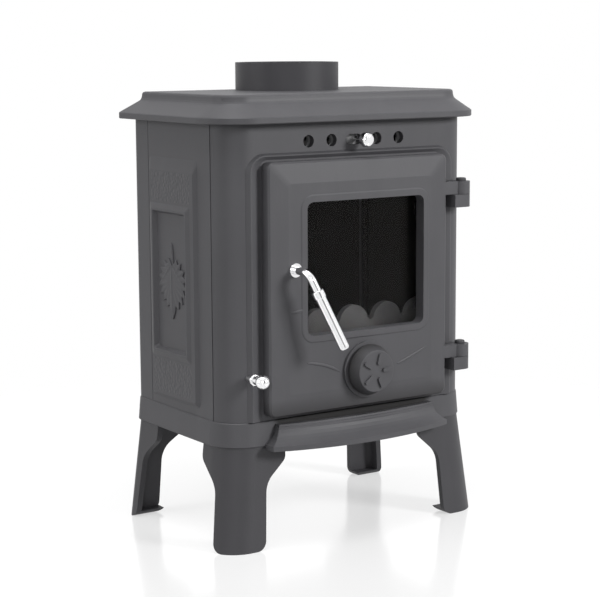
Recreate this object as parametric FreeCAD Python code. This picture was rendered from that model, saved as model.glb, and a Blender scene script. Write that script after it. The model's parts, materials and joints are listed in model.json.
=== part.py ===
# Small free-standing cast iron wood stove: bolted castings on four splayed legs.
# Millimetres, +Z up, front towards -Y, origin on the floor under the middle of the whole stove.
import FreeCAD, Part
import math
import os
from FreeCAD import Vector

# Shared walls, fits and clearances
WALL = 7.0                    # cast plate thickness
SEAM_GAP = 0.8                # open line where two upright castings meet
SEAM_LIP = 10.0               # width of the inner lip that backs such a line
SEAM_LIP_THICK = 2.5
RUN_FIT = 0.06                # radial clearance of a shaft that turns or slides in its hole
FIXED_FIT = 0.03              # radial clearance of a fixed pin, bolt or bush in its hole
CLEAR = 0.4                   # gap between pieces that move past each other
OVERRUN = 2.0                 # how far a cutting shape runs past the face that it opens
LEAST_RADIUS = 1.0            # smallest corner radius of a cast outline
ARC_STEPS = 6                 # lines in a quarter arc of a turned profile

# Body
BODY_WIDTH = 338.0
BODY_DEPTH = 207.0
BODY_FRONT_RADIUS = 36.0
BODY_REAR_RADIUS = 11.0
LEG_HEIGHT = 117.0
RING_HEIGHT = 29.0
WALL_HEIGHT = 335.0
FRONT_WRAP = 30.5             # how far the front plate runs back along each side
BACK_WRAP = 37.5              # how far the back plate runs forward along each side

# Base ring and its floor
RING_PROUD_TOP = 1.0
RING_PROUD_BOTTOM = 3.2
RING_WALL = 10.5
RING_EDGE = 1.6               # bevel on the ring's upper and lower edges
FLOOR_THICK = 6.0

# Legs
LEG_WALL = 7.0
LEG_FRONT_RADIUS = 36.0
LEG_REAR_RADIUS = 14.0
LEG_INSET = 2.0               # leg face behind the base ring's lower edge
LEG_SIDE_SPLAY = 12.5         # how far each foot stands further out than the leg's top
LEG_FRONT_SPLAY = 9.5
LEG_REAR_SPLAY = 6.0
LEG_FRONT_FOOT = 42.0         # inner edge of a front leg's front face, in from the body's side
LEG_FRONT_SHANK = 47.0
LEG_FRONT_WING = 74.0
LEG_REAR_FOOT = 26.0          # the same edge of a rear leg's rear face
LEG_REAR_SHANK = 30.0
LEG_REAR_WING = 66.0
LEG_SIDE_FOOT = 15.0          # inner edge of the side face, in from the body's front or rear
LEG_SIDE_SHANK = 21.0
LEG_SIDE_WING = 51.0
LEG_WING_DROP = 17.0          # corners of the inner edge, below the leg's top
LEG_SHANK_DROP = 41.0
LEG_SHANK_RADIUS = 28.0
LEG_WING_RADIUS = 11.0
LEG_FOOT_RADIUS = 12.0
LEG_MARGIN = 12.0             # how far the leg's raw block runs past its inner edges
LEG_TAB_THICK = 8.0
LEG_PAD_THICK = 6.0

# Ash lip
ASH_LIP_BELOW_SEAM = 5.0
ASH_LIP_DROP = 21.5
ASH_LIP_EDGE = 5.5
ASH_LIP_TOP_HALF = 107.0
ASH_LIP_LOW_HALF = 122.0
ASH_LIP_TOP_END = 9.0
ASH_LIP_LOW_END = 20.0
ASH_LIP_TOP_BOW = 20.0
ASH_LIP_LOW_BOW = 41.0
ASH_LIP_WALL = 6.0
ASH_LIP_ROOT = 5.0
ASH_LIP_BOLT_RADIUS = 3.0
ASH_LIP_BOLT_HEAD_RADIUS = 5.5
ASH_LIP_BOLT_HEAD_HEIGHT = 4.0
ASH_LIP_BOLT_X = 40.0
ASH_LIP_LUG = 15.0
# Drop and reach of the lip's section, as shares of the whole drop and reach.
ASH_LIP_SECTION_SHARES = [
    (0.0, 0.0), (0.09, 0.02), (0.13, 0.08), (0.21, 0.09), (0.26, 0.15), (0.42, 0.21),
    (0.58, 0.33), (0.72, 0.49), (0.84, 0.68), (0.94, 0.87), (1.0, 1.0),
]

# Top plate and flue collar
SIDE_OVERHANG = 15.3
FRONT_OVERHANG = 17.7
REAR_OVERHANG = 9.5
RIM_FRONT_RADIUS = 52.0
RIM_REAR_RADIUS = 8.0
RIM_DROP = 5.5                # how far the rim hangs below the top of the walls
RIM_LIP = 6.0
RIM_INSET = 24.5
RIM_RISE = 31.0
TOP_THICK = 7.0
# Inset and rise of the rim's moulding, as shares of the whole inset and rise.
RIM_SECTION_SHARES = [
    (0.03, 0.0), (0.0, 0.03), (0.0, 0.21), (0.03, 0.24), (0.76, 0.64), (0.83, 0.69), (0.87, 0.76),
    (0.89, 0.84), (0.9, 0.92), (0.93, 0.97), (1.0, 1.0),
]
COLLAR_RADIUS = 61.0
COLLAR_WALL = 6.0
COLLAR_HEIGHT = 32.5
COLLAR_BACK = 31.0            # collar axis behind the body's middle
COLLAR_PAD = 1.5              # how far the round seat on the top plate runs past the collar
COLLAR_LUG_RADIUS = 8.0
COLLAR_LUG_SUNK = 1.5         # how far a lug's round runs into the collar's wall
COLLAR_LUG_HEIGHT = 8.0
COLLAR_LUG_COUNT = 3
COLLAR_BOLT_RADIUS = 3.0
BOLT_HEAD_SHARE = 1.75        # bolt head radius as a share of the shank radius
BOLT_HEAD_HEIGHT_SHARE = 1.3

# Tie rods that hold legs, base and top plate together
ROD_RADIUS = 4.0
ROD_INSET = 10.0              # rod axis in from the inner face of the side walls
ROD_FRONT_INSET = 16.5        # rod axis in from the inner face of the front wall
ROD_REAR_INSET = 12.5
ROD_BOSS_RADIUS = 8.0
ROD_BOSS_HEIGHT = 12.0
ROD_TAIL = 9.0
NUT_ACROSS = 13.0
NUT_HEIGHT = 6.5

# Side panels
PANEL_PROUD = 3.5
PANEL_BEVEL = 5.0
PANEL_TOP_BEVEL = 15.0
PANEL_FRONT_MARGIN = 28.0
PANEL_REAR_MARGIN = 3.0
PANEL_TOP_MARGIN = 47.0
PANEL_LOW_MARGIN = 9.0
FRAME_SIDE_MARGIN = 12.5
FRAME_LOW_MARGIN = 48.5
FRAME_TOP_MARGIN = 52.5
FRAME_SLOPE = 6.0
FRAME_RIDGE = 2.5
FRAME_INNER_SLOPE = 3.0
FRAME_PROUD = 2.2
FRAME_RECESS = 2.9

# Door opening, its raised surround and the air row above it
DOOR_SIDE = 46.0              # door edge in from the body's side
DOOR_SILL = 4.5
DOOR_HEADER = 47.5
OPENING_LAP = 13.0
OPENING_RADIUS = 8.0
SURROUND_PROUD = 1.0          # seat of the door in front of the plate
SURROUND_CREST = 3.6          # crest of the moulding in front of the plate
SURROUND_SEAT = 2.0           # flat seat left open round the door
SURROUND_SIDE = 14.0          # crest beyond the door's sides
SURROUND_HEAD = 5.7           # crest above the door's top
SURROUND_CREST_WIDTH = 1.4
SURROUND_SIDE_FOOT = 4.0      # outer slope of the moulding at the sides
SURROUND_HEAD_FOOT = 2.6
AIR_ROW_DROP = 27.0           # row of air holes below the top of the walls
AIR_ROW_OFFSET = 2.0
AIR_HOLE_RADIUS = 7.0
AIR_HOLE_PITCH = 31.0
AIR_HOLE_PAIRS = 2
AIR_SLOT_LENGTH = 22.0
AIR_SLOT_HEIGHT = 12.0

# Air slide
AIR_SLIDE_THICK = 3.0
AIR_SLIDE_HEIGHT = 22.0
AIR_SLIDE_END = 13.0
AIR_STEM_RADIUS = 3.0
AIR_KNOB_RADIUS = 8.2
AIR_KNOB_LENGTH = 11.0
AIR_KNOB_STAND = 12.0
AIR_KNOB_ROUND_SHARE = 0.55
AIR_KNOB_WAIST_SHARE = 0.62
AIR_KNOB_FLARE_SHARE = 0.22
AIR_REST = 5.0                # knob to the right of the slot's middle, as it stands
AIR_RAIL_WIDTH = 4.0
AIR_RAIL_LIP = 3.0
AIR_RAIL_LIP_THICK = 2.0
AIR_RAIL_END = 12.0

# Door casting
DOOR_GAP = 0.5
DOOR_EDGE = 14.0
DOOR_EDGE_ROUND = 2.0
DOOR_CROWN = 2.5
DOOR_BORDER = 24.0
DOOR_RADIUS = 8.0
DOOR_CROWN_RADIUS = 5.0
WINDOW_LEFT = 48.5
WINDOW_RIGHT = 36.0
WINDOW_SILL = 88.5
WINDOW_HEADER = 45.4
WINDOW_RADIUS = 8.0
WINDOW_BAND = 8.5
WINDOW_BAND_PROUD = 0.8
WINDOW_BAND_BEVEL = 1.5
GLASS_LAP = 6.5
GLASS_THICK = 4.0
GLASS_REBATE = 3.0
GASKET_THICK = 1.2
GASKET_WIDTH = 5.0
ROPE_RADIUS = 3.0
ROPE_PROUD = 0.2
ROPE_SIDE_GAP = 0.3
CLIP_THICK = 2.0
CLIP_WIDTH = 14.0
CLIP_FOOT = 11.0
CLIP_LAP = 5.0
CLIP_RISE_SHARES = [0.14, 0.88]
CLIP_SCREW_RADIUS = 2.0
CLIP_SCREW_DEPTH = 4.5

# Hinges
HINGE_REACH = 25.0            # pin axis beyond the door's edge
HINGE_BACK = 7.5              # pin axis behind the door's crown
HINGE_RADIUS = 10.5
HINGE_LUG = 15.0
HINGE_UPPER_DROP = 48.0       # upper hinge line below the door's top
HINGE_LOWER_RISE = 42.0
HINGE_ARM = 10.0              # how far the door's lug runs onto the door
HINGE_ARM_THICK = 14.0
HINGE_PLATE_ARM = 6.0
HINGE_PIN_RADIUS = 4.0
HINGE_PIN_HEAD_RADIUS = 6.0
HINGE_PIN_HEAD_HEIGHT = 3.5

# Handle and latch
SPINDLE_INSET = 32.0
SPINDLE_RISE = 164.0
SPINDLE_RADIUS = 4.5
SPINDLE_STAND = 27.0
BUSH_RADIUS = 6.5
BUSH_FLANGE = 7.8
BUSH_FLANGE_THICK = 2.5
SPINDLE_BOSS_RADIUS = 9.0
HANDLE_SWING = 22.0           # degrees from straight down, towards the hinges
HANDLE_TILT = 12.0            # degrees away from the door
HANDLE_BEND = 13.0
HANDLE_NECK = 22.0
HANDLE_LENGTH = 94.0
FERRULE_RADIUS = 7.0
FERRULE_LENGTH = 9.0
FERRULE_ROUND = 1.0
GRIP_RADIUS = 6.0
GRIP_ROUND = 3.0
TONGUE_HUB = 9.5
TONGUE_WIDTH = 13.0
TONGUE_THICK = 6.0
TONGUE_OVERLAP = 10.0
TONGUE_GAP = 1.4              # tongue behind the front plate's inner face
LATCH_NUT_HEIGHT = 5.0

# Air wheel on the door
WHEEL_RISE = 43.0
WHEEL_RADIUS = 29.0
WHEEL_FACE_RADIUS = 22.9
WHEEL_EDGE_ROUND = 1.3
WHEEL_RIM = 2.5
WHEEL_THICK = 14.3
WHEEL_GAP = 2.0
WHEEL_BOSS_RADIUS = 32.5
WHEEL_BOSS = 3.0
WHEEL_HOLE_RADIUS = 4.5
WHEEL_HOLE_CIRCLE = 18.0
WHEEL_HOLE_COUNT = 6
WHEEL_BAR_COUNT = 5
WHEEL_BAR_WIDTH = 4.4
WHEEL_BAR_HEIGHT = 2.4
WHEEL_BAR_TURN = 75.0         # degrees of the first bar above +X
WHEEL_BAR_SHARES = [0.34, 0.9]
WHEEL_SKIN = 2.3
STUD_RADIUS = 3.5
STUD_SHORT = 2.2              # how far the stud ends before the bottom of the wheel's bore
HUB_RADIUS = 6.0
SPRING_POCKET_RADIUS = 11.0
SPRING_POCKET_DEPTH = 6.0
WASHER_THICK = 1.1
SPRING_WIRE_RADIUS = 0.6
SPRING_RADIUS = 8.4
SPRING_TURNS = 3

# Grate, riddling gear and fire furniture
GRATE_RISE = 70.0             # grate top above the base's floor
GRATE_THICK = 10.0
GRATE_SIDE_GAP = 3.0
GRATE_FRONT_GAP = 36.0
GRATE_REAR_GAP = 4.0
GRATE_ROD_GAP = 1.0           # grate's corners off the tie rods
GRATE_LUG_REACH = 13.0
GRATE_LUG_HEIGHT = 12.0
GRATE_LUG_WIDTH = 14.0
GRATE_LUG_FROM_END = 24.0
GRATE_SLOT_WIDTH = 8.0
GRATE_SLOT_PITCH = 18.0
GRATE_SLOT_INSET = 20.0
DISC_RADIUS = 56.0
DISC_LEDGE = 6.0
DISC_LEDGE_THICK = 4.0
DISC_HUB_RADIUS = 18.0
DISC_SLOT_WIDTH = 8.0
DISC_SLOT_COUNT = 10
DISC_SLOT_SHARES = [0.42, 0.84]
ARM_WIDTH = 18.0
ARM_THICK = 4.5
ARM_END = 9.0
RIDDLE_INSET = 29.0           # riddling rod in from the body's side
RIDDLE_DROP = 20.0            # riddling rod below the grate's top
RIDDLE_RADIUS = 4.0
RIDDLE_STROKE = 36.0
RIDDLE_STAND = 27.0           # ball's middle in front of the front plate
RIDDLE_BALL_RADIUS = 8.2
RIDDLE_NECK_RADIUS = 5.2
RIDDLE_NECK_LENGTH = 6.0
RIDDLE_COLLAR_RADIUS = 6.6
RIDDLE_COLLAR_LENGTH = 4.0
RIDDLE_TAIL = 9.0
RIDDLE_PIN_RADIUS = 3.0
RIDDLE_PIN_SLACK = 0.5
FENCE_THICK = 8.0
FENCE_FRONT = 32.5            # fence behind the front plate's outer face
FENCE_SIDE_GAP = 15.0         # end of the scallops in from the grate's side
FENCE_HEIGHT = 43.0
FENCE_VALLEY = 24.5           # bottom of the scallops above the grate
FENCE_VALLEY_RADIUS = 4.6
FENCE_BUMPS = 6
FENCE_FOOT = 10.0
FENCE_FOOT_THICK = 6.0
LINER_THICK = 8.0
LINER_FRONT_GAP = 10.0        # side liner behind the log fence
BACK_LINER_MARGIN = 24.0
BAFFLE_DROP = 45.0            # baffle's underside below the top of the walls
BAFFLE_THICK = 6.0
BAFFLE_FRONT_GAP = 56.0
PAN_FRONT_GAP = 8.0
PAN_REAR_GAP = 26.0
PAN_SIDE_GAP = 6.0            # pan's side in from the door opening
PAN_HEIGHT = 36.0
PAN_WALL = 1.5
PAN_HANDLE_WIDTH = 60.0
PAN_HANDLE_DEPTH = 5.0
PAN_HANDLE_THICK = 2.0

# Places worked out from the sizes above
HALF_W = BODY_WIDTH / 2
FRONT_Y = -BODY_DEPTH / 2
REAR_Y = BODY_DEPTH / 2
SEAM_Z = LEG_HEIGHT + RING_HEIGHT
SEAT_Z = SEAM_Z + WALL_HEIGHT
INNER_X = HALF_W - WALL
INNER_FRONT_Y = FRONT_Y + WALL
INNER_REAR_Y = REAR_Y - WALL
FRONT_SEAM_Y = FRONT_Y + FRONT_WRAP
BACK_SEAM_Y = REAR_Y - BACK_WRAP
RIM_BOTTOM_Z = SEAT_Z - RIM_DROP
TOP_Z = RIM_BOTTOM_Z + RIM_RISE
ROD_X = INNER_X - ROD_INSET
ROD_FRONT_Y = INNER_FRONT_Y + ROD_FRONT_INSET
ROD_REAR_Y = INNER_REAR_Y - ROD_REAR_INSET
ROD_PLACES = [(x, y) for x in (-ROD_X, ROD_X) for y in (ROD_FRONT_Y, ROD_REAR_Y)]
TAB_Z = LEG_HEIGHT - LEG_TAB_THICK
ASH_LIP_LOW_Z = SEAM_Z - ASH_LIP_BELOW_SEAM - ASH_LIP_DROP - ASH_LIP_EDGE
ASH_LIP_BOLT_Y = FRONT_Y + ASH_LIP_LUG / 2 - RING_PROUD_BOTTOM
SURROUND_Y = FRONT_Y - SURROUND_PROUD
DOOR_HALF = HALF_W - DOOR_SIDE
DOOR_Z0 = SEAM_Z + DOOR_SILL
DOOR_Z1 = SEAT_Z - DOOR_HEADER
DOOR_BACK_Y = SURROUND_Y - DOOR_GAP
DOOR_EDGE_Y = DOOR_BACK_Y - DOOR_EDGE
DOOR_FACE_Y = DOOR_EDGE_Y - DOOR_CROWN
OPENING_HALF = DOOR_HALF - OPENING_LAP
OPENING_Z0 = DOOR_Z0 + OPENING_LAP
OPENING_Z1 = DOOR_Z1 - OPENING_LAP
WINDOW_X0 = -DOOR_HALF + WINDOW_LEFT
WINDOW_X1 = DOOR_HALF - WINDOW_RIGHT
WINDOW_Z0 = DOOR_Z0 + WINDOW_SILL
WINDOW_Z1 = DOOR_Z1 - WINDOW_HEADER
REBATE_Y = DOOR_BACK_Y - GLASS_REBATE
GLASS_FRONT_Y = REBATE_Y + GASKET_THICK
GLASS_BACK_Y = GLASS_FRONT_Y + GLASS_THICK
AIR_Z = SEAT_Z - AIR_ROW_DROP
AIR_X = AIR_ROW_OFFSET
AIR_SLIDE_FRONT_Y = INNER_FRONT_Y + CLEAR
AIR_SLIDE_BACK_Y = AIR_SLIDE_FRONT_Y + AIR_SLIDE_THICK
AIR_HOLE_STEPS = [side * step for side in (-1, 1) for step in range(1, AIR_HOLE_PAIRS + 1)]
AIR_HOLE_XS = [AIR_X + step * AIR_HOLE_PITCH for step in AIR_HOLE_STEPS]
HINGE_X = DOOR_HALF + HINGE_REACH
HINGE_Y = DOOR_FACE_Y + HINGE_BACK
HINGE_ZS = [DOOR_Z0 + HINGE_LOWER_RISE, DOOR_Z1 - HINGE_UPPER_DROP]
SPINDLE_X = -DOOR_HALF + SPINDLE_INSET
SPINDLE_Z = DOOR_Z0 + SPINDLE_RISE
TONGUE_FRONT_Y = INNER_FRONT_Y + TONGUE_GAP
TONGUE_BACK_Y = TONGUE_FRONT_Y + TONGUE_THICK
TONGUE_LENGTH = OPENING_HALF + SPINDLE_X + TONGUE_OVERLAP
WHEEL_X = (WINDOW_X0 + WINDOW_X1) / 2
WHEEL_Z = DOOR_Z0 + WHEEL_RISE
WHEEL_BOSS_Y = DOOR_FACE_Y - WHEEL_BOSS
WHEEL_BACK_Y = WHEEL_BOSS_Y - WHEEL_GAP
WHEEL_FACE_Y = WHEEL_BACK_Y - WHEEL_THICK
BORE_END_Y = WHEEL_FACE_Y + WHEEL_SKIN
POCKET_END_Y = WHEEL_BACK_Y - SPRING_POCKET_DEPTH
WASHER_FRONT_Y = POCKET_END_Y + CLEAR
WASHER_BACK_Y = WASHER_FRONT_Y + WASHER_THICK
GRATE_Z1 = SEAM_Z + GRATE_RISE
GRATE_Z0 = GRATE_Z1 - GRATE_THICK
GRATE_X = INNER_X - GRATE_SIDE_GAP
GRATE_Y0 = INNER_FRONT_Y + GRATE_FRONT_GAP - FENCE_THICK - CLEAR
GRATE_Y1 = INNER_REAR_Y - GRATE_REAR_GAP
GRATE_CORNER = GRATE_X + GRATE_Y1 - ROD_X - ROD_REAR_Y + math.sqrt(2) * (ROD_RADIUS + GRATE_ROD_GAP)
DISC_Y = (GRATE_Y0 + GRATE_Y1) / 2
LEDGE_Z = GRATE_Z0 + DISC_LEDGE_THICK
ARM_Z1 = GRATE_Z0 - CLEAR
ARM_Z0 = ARM_Z1 - ARM_THICK
RIDDLE_X = -HALF_W + RIDDLE_INSET
RIDDLE_Z = GRATE_Z1 - RIDDLE_DROP
RIDDLE_PIN_Y = DISC_Y + RIDDLE_STROKE / 2
FENCE_Y0 = FRONT_Y + FENCE_FRONT
FENCE_Y1 = FENCE_Y0 + FENCE_THICK
BAFFLE_Z0 = SEAT_Z - BAFFLE_DROP
BAFFLE_Z1 = BAFFLE_Z0 + BAFFLE_THICK
LINER_X1 = GRATE_X
LINER_X0 = GRATE_X - LINER_THICK
LINER_Y0 = FENCE_Y1 + LINER_FRONT_GAP
LINER_Y1 = ROD_REAR_Y - ROD_RADIUS - ROD_BOSS_RADIUS / 2
PAN_X = OPENING_HALF - PAN_SIDE_GAP
PAN_Y0 = INNER_FRONT_Y + PAN_FRONT_GAP
PAN_Y1 = INNER_REAR_Y - PAN_REAR_GAP
COLLAR_BORE = COLLAR_RADIUS - COLLAR_WALL
COLLAR_LUG_CIRCLE = COLLAR_BORE - COLLAR_LUG_RADIUS + COLLAR_LUG_SUNK
COLLAR_TURNS = [90.0 + 360.0 * index / COLLAR_LUG_COUNT for index in range(COLLAR_LUG_COUNT)]

X_AXIS = Vector(1, 0, 0)
Y_AXIS = Vector(0, 1, 0)
Z_AXIS = Vector(0, 0, 1)
FORWARD = Vector(0, -1, 0)


def plan(z):
    """Map plane points (x, y) to height z."""
    return lambda a, b: Vector(a, b, z)


def front_plane(y):
    """Map plane points (x, z) to depth y."""
    return lambda a, b: Vector(a, y, b)


def side_plane(x):
    """Map plane points (y, z) to the upright plane at x."""
    return lambda a, b: Vector(x, a, b)


def rounded_wire(corners, place):
    """Closed wire through plane corners (a, b, radius), each one rounded by its own arc."""
    count = len(corners)
    starts, mids, ends = [], [], []
    for index in range(count):
        a, b, radius = corners[index]
        here = Vector(a, b, 0)
        before = (Vector(corners[index - 1][0], corners[index - 1][1], 0) - here).normalize()
        after_corner = corners[(index + 1) % count]
        after = (Vector(after_corner[0], after_corner[1], 0) - here).normalize()
        half_angle = before.getAngle(after) / 2
        bisector = (before + after).normalize()
        starts.append(here + before * (radius / math.tan(half_angle)))
        ends.append(here + after * (radius / math.tan(half_angle)))
        mids.append(here + bisector * (radius / math.sin(half_angle) - radius))
    edges = []
    for index in range(count):
        start, mid, end = (place(point.x, point.y) for point in (starts[index], mids[index], ends[index]))
        following = place(starts[(index + 1) % count].x, starts[(index + 1) % count].y)
        if corners[index][2] > 0:
            edges.append(Part.Arc(start, mid, end).toShape())
        if not end.isEqual(following, FIXED_FIT):
            edges.append(Part.makeLine(end, following))
    return Part.Wire(edges)


def rectangle(a0, a1, b0, b1, radius, place):
    """Closed rectangle with four equal corner radii."""
    return rounded_wire([(a0, b0, radius), (a1, b0, radius), (a1, b1, radius), (a0, b1, radius)], place)


def plan_outline(half, front, rear, front_radius, rear_radius, z):
    """Plan outline that is symmetric about the middle, with its own front and rear corner radii."""
    front_radius = max(front_radius, LEAST_RADIUS)
    rear_radius = max(rear_radius, LEAST_RADIUS)
    corners = [(-half, front, front_radius), (half, front, front_radius)]
    corners += [(half, rear, rear_radius), (-half, rear, rear_radius)]
    return rounded_wire(corners, plan(z))


def body_outline(grow, z):
    """Plan outline of the body's outer face, grown outwards by grow."""
    radii = (BODY_FRONT_RADIUS + grow, BODY_REAR_RADIUS + grow)
    return plan_outline(HALF_W + grow, FRONT_Y - grow, REAR_Y + grow, *radii, z)


def rim_outline(inset, z):
    """Plan outline of the top plate's rim, drawn in by inset."""
    half = HALF_W + SIDE_OVERHANG - inset
    front = FRONT_Y - FRONT_OVERHANG + inset
    rear = REAR_Y + REAR_OVERHANG - inset
    return plan_outline(half, front, rear, RIM_FRONT_RADIUS - inset, RIM_REAR_RADIUS - inset, z)


def prism(wire, direction):
    """Solid swept from a flat closed wire."""
    return Part.Face(wire).extrude(direction)


def loft(wires):
    """Solid with straight sides between matching outlines."""
    return Part.makeLoft(wires, True, True)


def block(x0, x1, y0, y1, z0, z1):
    """Box between two corners."""
    return Part.makeBox(x1 - x0, y1 - y0, z1 - z0, Vector(x0, y0, z0))


def bar(radius, start, end):
    """Round bar from one point to another."""
    return Part.makeCylinder(radius, (end - start).Length, start, end - start)


def along_y(radius, x, z, y0, y1):
    """Round bar along Y."""
    return bar(radius, Vector(x, y0, z), Vector(x, y1, z))


def upright(radius, x, y, z0, z1):
    """Round bar along Z."""
    return bar(radius, Vector(x, y, z0), Vector(x, y, z1))


def hexagon(across, start, end):
    """Hexagonal bar between two points."""
    axis = (end - start).normalize()
    side = axis.cross(X_AXIS) if abs(axis.dot(X_AXIS)) < abs(axis.dot(Z_AXIS)) else axis.cross(Z_AXIS)
    if side.Length < 1 / across:
        side = axis.cross(X_AXIS)
    arm = side.normalize() * (across / math.sqrt(3))
    points = [start + FreeCAD.Rotation(axis, turn).multVec(arm) for turn in range(0, 420, 60)]
    return Part.Face(Part.makePolygon(points)).extrude(end - start)


def revolved(profile, origin, axis, side):
    """Solid of revolution of (along, radius) points that start and end on the axis."""
    points = [origin + axis * along + side * radius for along, radius in profile]
    face = Part.Face(Part.makePolygon(points + [points[0]]))
    return face.revolve(origin, axis, 360)


def rounded_end(length, radius, rounding, steps):
    """Profile points of a round end: from the full radius to a flat face, by a quarter arc."""
    turns = [math.pi / 2 * step / steps for step in range(steps + 1)]
    return [(length - rounding + rounding * math.sin(turn), radius - rounding + rounding * math.cos(turn))
            for turn in turns]


def fused(shapes):
    """One solid from several that meet."""
    return shapes[0].multiFuse(shapes[1:]).removeSplitter()


def mirrored(shape):
    """The same piece for the other side of the stove."""
    return shape.mirror(Vector(0, 0, 0), X_AXIS)


def body_shell():
    """Four upright walls as one band, before they are parted at their seams."""
    outer = prism(body_outline(0, SEAM_Z), Z_AXIS * WALL_HEIGHT)
    inner = prism(body_outline(-WALL, SEAM_Z), Z_AXIS * WALL_HEIGHT)
    return outer.cut(inner)


def seam_lip(side, y0, y1):
    """Inner lip behind the line between two upright castings."""
    x0, x1 = sorted((side * INNER_X, side * (INNER_X - SEAM_LIP_THICK)))
    return block(x0, x1, y0, y1, SEAM_Z, SEAT_Z)


def base_solid():
    """Outer form of the base ring, with its draft."""
    low = body_outline(RING_PROUD_BOTTOM - RING_EDGE, LEG_HEIGHT)
    lower = body_outline(RING_PROUD_BOTTOM, LEG_HEIGHT + RING_EDGE)
    upper = body_outline(RING_PROUD_TOP, SEAM_Z - RING_EDGE)
    return loft([low, lower, upper, body_outline(RING_PROUD_TOP - RING_EDGE, SEAM_Z)])


def base_ring():
    """Base ring with the stove's floor, open below."""
    hollow = prism(body_outline(-RING_WALL, LEG_HEIGHT), Z_AXIS * (RING_HEIGHT - FLOOR_THICK))
    ring = base_solid().cut(hollow)
    bosses = [upright(ROD_BOSS_RADIUS, x, y, LEG_HEIGHT, SEAM_Z - FLOOR_THICK / 2) for x, y in ROD_PLACES]
    ring = fused([ring] + bosses)
    for x, y in ROD_PLACES:
        ring = ring.cut(upright(ROD_RADIUS + FIXED_FIT, x, y, LEG_HEIGHT - OVERRUN, SEAM_Z + OVERRUN))
    return ring


def leg_edge(foot, shank, wing, outer):
    """Corners of a leg's face, from its outer side to its S-shaped inner edge, measured inwards."""
    return [
        (outer, 0, 0), (foot, 0, LEG_FOOT_RADIUS), (shank, LEG_HEIGHT - LEG_SHANK_DROP, LEG_SHANK_RADIUS),
        (wing, LEG_HEIGHT - LEG_WING_DROP, LEG_WING_RADIUS), (wing, LEG_HEIGHT, 0), (outer, LEG_HEIGHT, 0),
    ]


def leg_outline(radius, splay, wing, draw_in, z):
    """Plan outline of one corner leg's raw block at one height, drawn in by a wall."""
    lower = 1 - z / LEG_HEIGHT
    top = RING_PROUD_BOTTOM - LEG_INSET - draw_in
    outer_x = -HALF_W - top - LEG_SIDE_SPLAY * lower
    outer_y = FRONT_Y - top - splay * lower
    inner_x = -HALF_W + wing + LEG_MARGIN + draw_in
    inner_y = FRONT_Y + LEG_SIDE_WING + LEG_MARGIN + draw_in
    corner = max(radius - draw_in, LEAST_RADIUS)
    corners = [(outer_x, outer_y, corner), (inner_x, outer_y, 0), (inner_x, inner_y, 0), (outer_x, inner_y, 0)]
    return rounded_wire(corners, plan(z))


def hollow_leg(radius, splay, foot, shank, wing):
    """Hollow left front leg: a splayed block between two S-edged faces, with a foot pad and a top tab."""
    form = (radius, splay, wing)
    block_ends = (-OVERRUN, LEG_HEIGHT + OVERRUN)
    outer = loft([leg_outline(*form, 0, z) for z in block_ends])
    hollow = loft([leg_outline(*form, LEG_WALL, z) for z in (LEG_PAD_THICK, TAB_Z)])
    far = -LEG_SIDE_SPLAY - LEG_FRONT_SPLAY - LEG_MARGIN
    face = [(a - HALF_W, b, r) for a, b, r in leg_edge(foot, shank, wing, far)]
    side = [(a + FRONT_Y, b, r) for a, b, r in leg_edge(LEG_SIDE_FOOT, LEG_SIDE_SHANK, LEG_SIDE_WING, far)]
    shape = outer.common(prism(rounded_wire(face, front_plane(-BODY_DEPTH)), Y_AXIS * (2 * BODY_DEPTH)))
    shape = shape.common(prism(rounded_wire(side, side_plane(-BODY_WIDTH)), X_AXIS * (2 * BODY_WIDTH)))
    return shape.cut(hollow)


def left_leg(end):
    """Corner leg on the left, with its hole for the tie rod: end is -1 front or 1 rear."""
    if end < 0:
        shape = hollow_leg(LEG_FRONT_RADIUS, LEG_FRONT_SPLAY, LEG_FRONT_FOOT, LEG_FRONT_SHANK, LEG_FRONT_WING)
    else:
        shape = hollow_leg(LEG_REAR_RADIUS, LEG_REAR_SPLAY, LEG_REAR_FOOT, LEG_REAR_SHANK, LEG_REAR_WING)
        shape = shape.mirror(Vector(0, 0, 0), Y_AXIS)
    rod_y = ROD_FRONT_Y if end < 0 else ROD_REAR_Y
    return shape.cut(upright(ROD_RADIUS + FIXED_FIT, -ROD_X, rod_y, TAB_Z - OVERRUN, LEG_HEIGHT + OVERRUN))


def ash_lip_outline(half, end, bow, z):
    """Plan outline of the ash lip at one height: straight ends and a bowed front."""
    back = FRONT_Y + ASH_LIP_ROOT
    left, right = Vector(-half, FRONT_Y - end, z), Vector(half, FRONT_Y - end, z)
    back_left, back_right = Vector(-half, back, z), Vector(half, back, z)
    front = Part.Arc(left, Vector(0, FRONT_Y - bow, z), right).toShape()
    corners = [right, back_right, back_left, left]
    sides = [Part.makeLine(first, second) for first, second in zip(corners, corners[1:])]
    return Part.Wire([front] + sides)


def ash_lip_form(draw_in):
    """Bowed cove moulding, drawn in by a wall."""
    top = SEAM_Z - ASH_LIP_BELOW_SEAM
    wires = []
    for drop, reach in ASH_LIP_SECTION_SHARES:
        half = ASH_LIP_TOP_HALF + reach * (ASH_LIP_LOW_HALF - ASH_LIP_TOP_HALF) - draw_in
        end = ASH_LIP_TOP_END + reach * (ASH_LIP_LOW_END - ASH_LIP_TOP_END) - draw_in
        bow = ASH_LIP_TOP_BOW + reach * (ASH_LIP_LOW_BOW - ASH_LIP_TOP_BOW) - draw_in
        wires.append(ash_lip_outline(half, end, bow, top - drop * ASH_LIP_DROP))
    wires.append(ash_lip_outline(half, end, bow, ASH_LIP_LOW_Z))
    return loft(wires)


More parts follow.
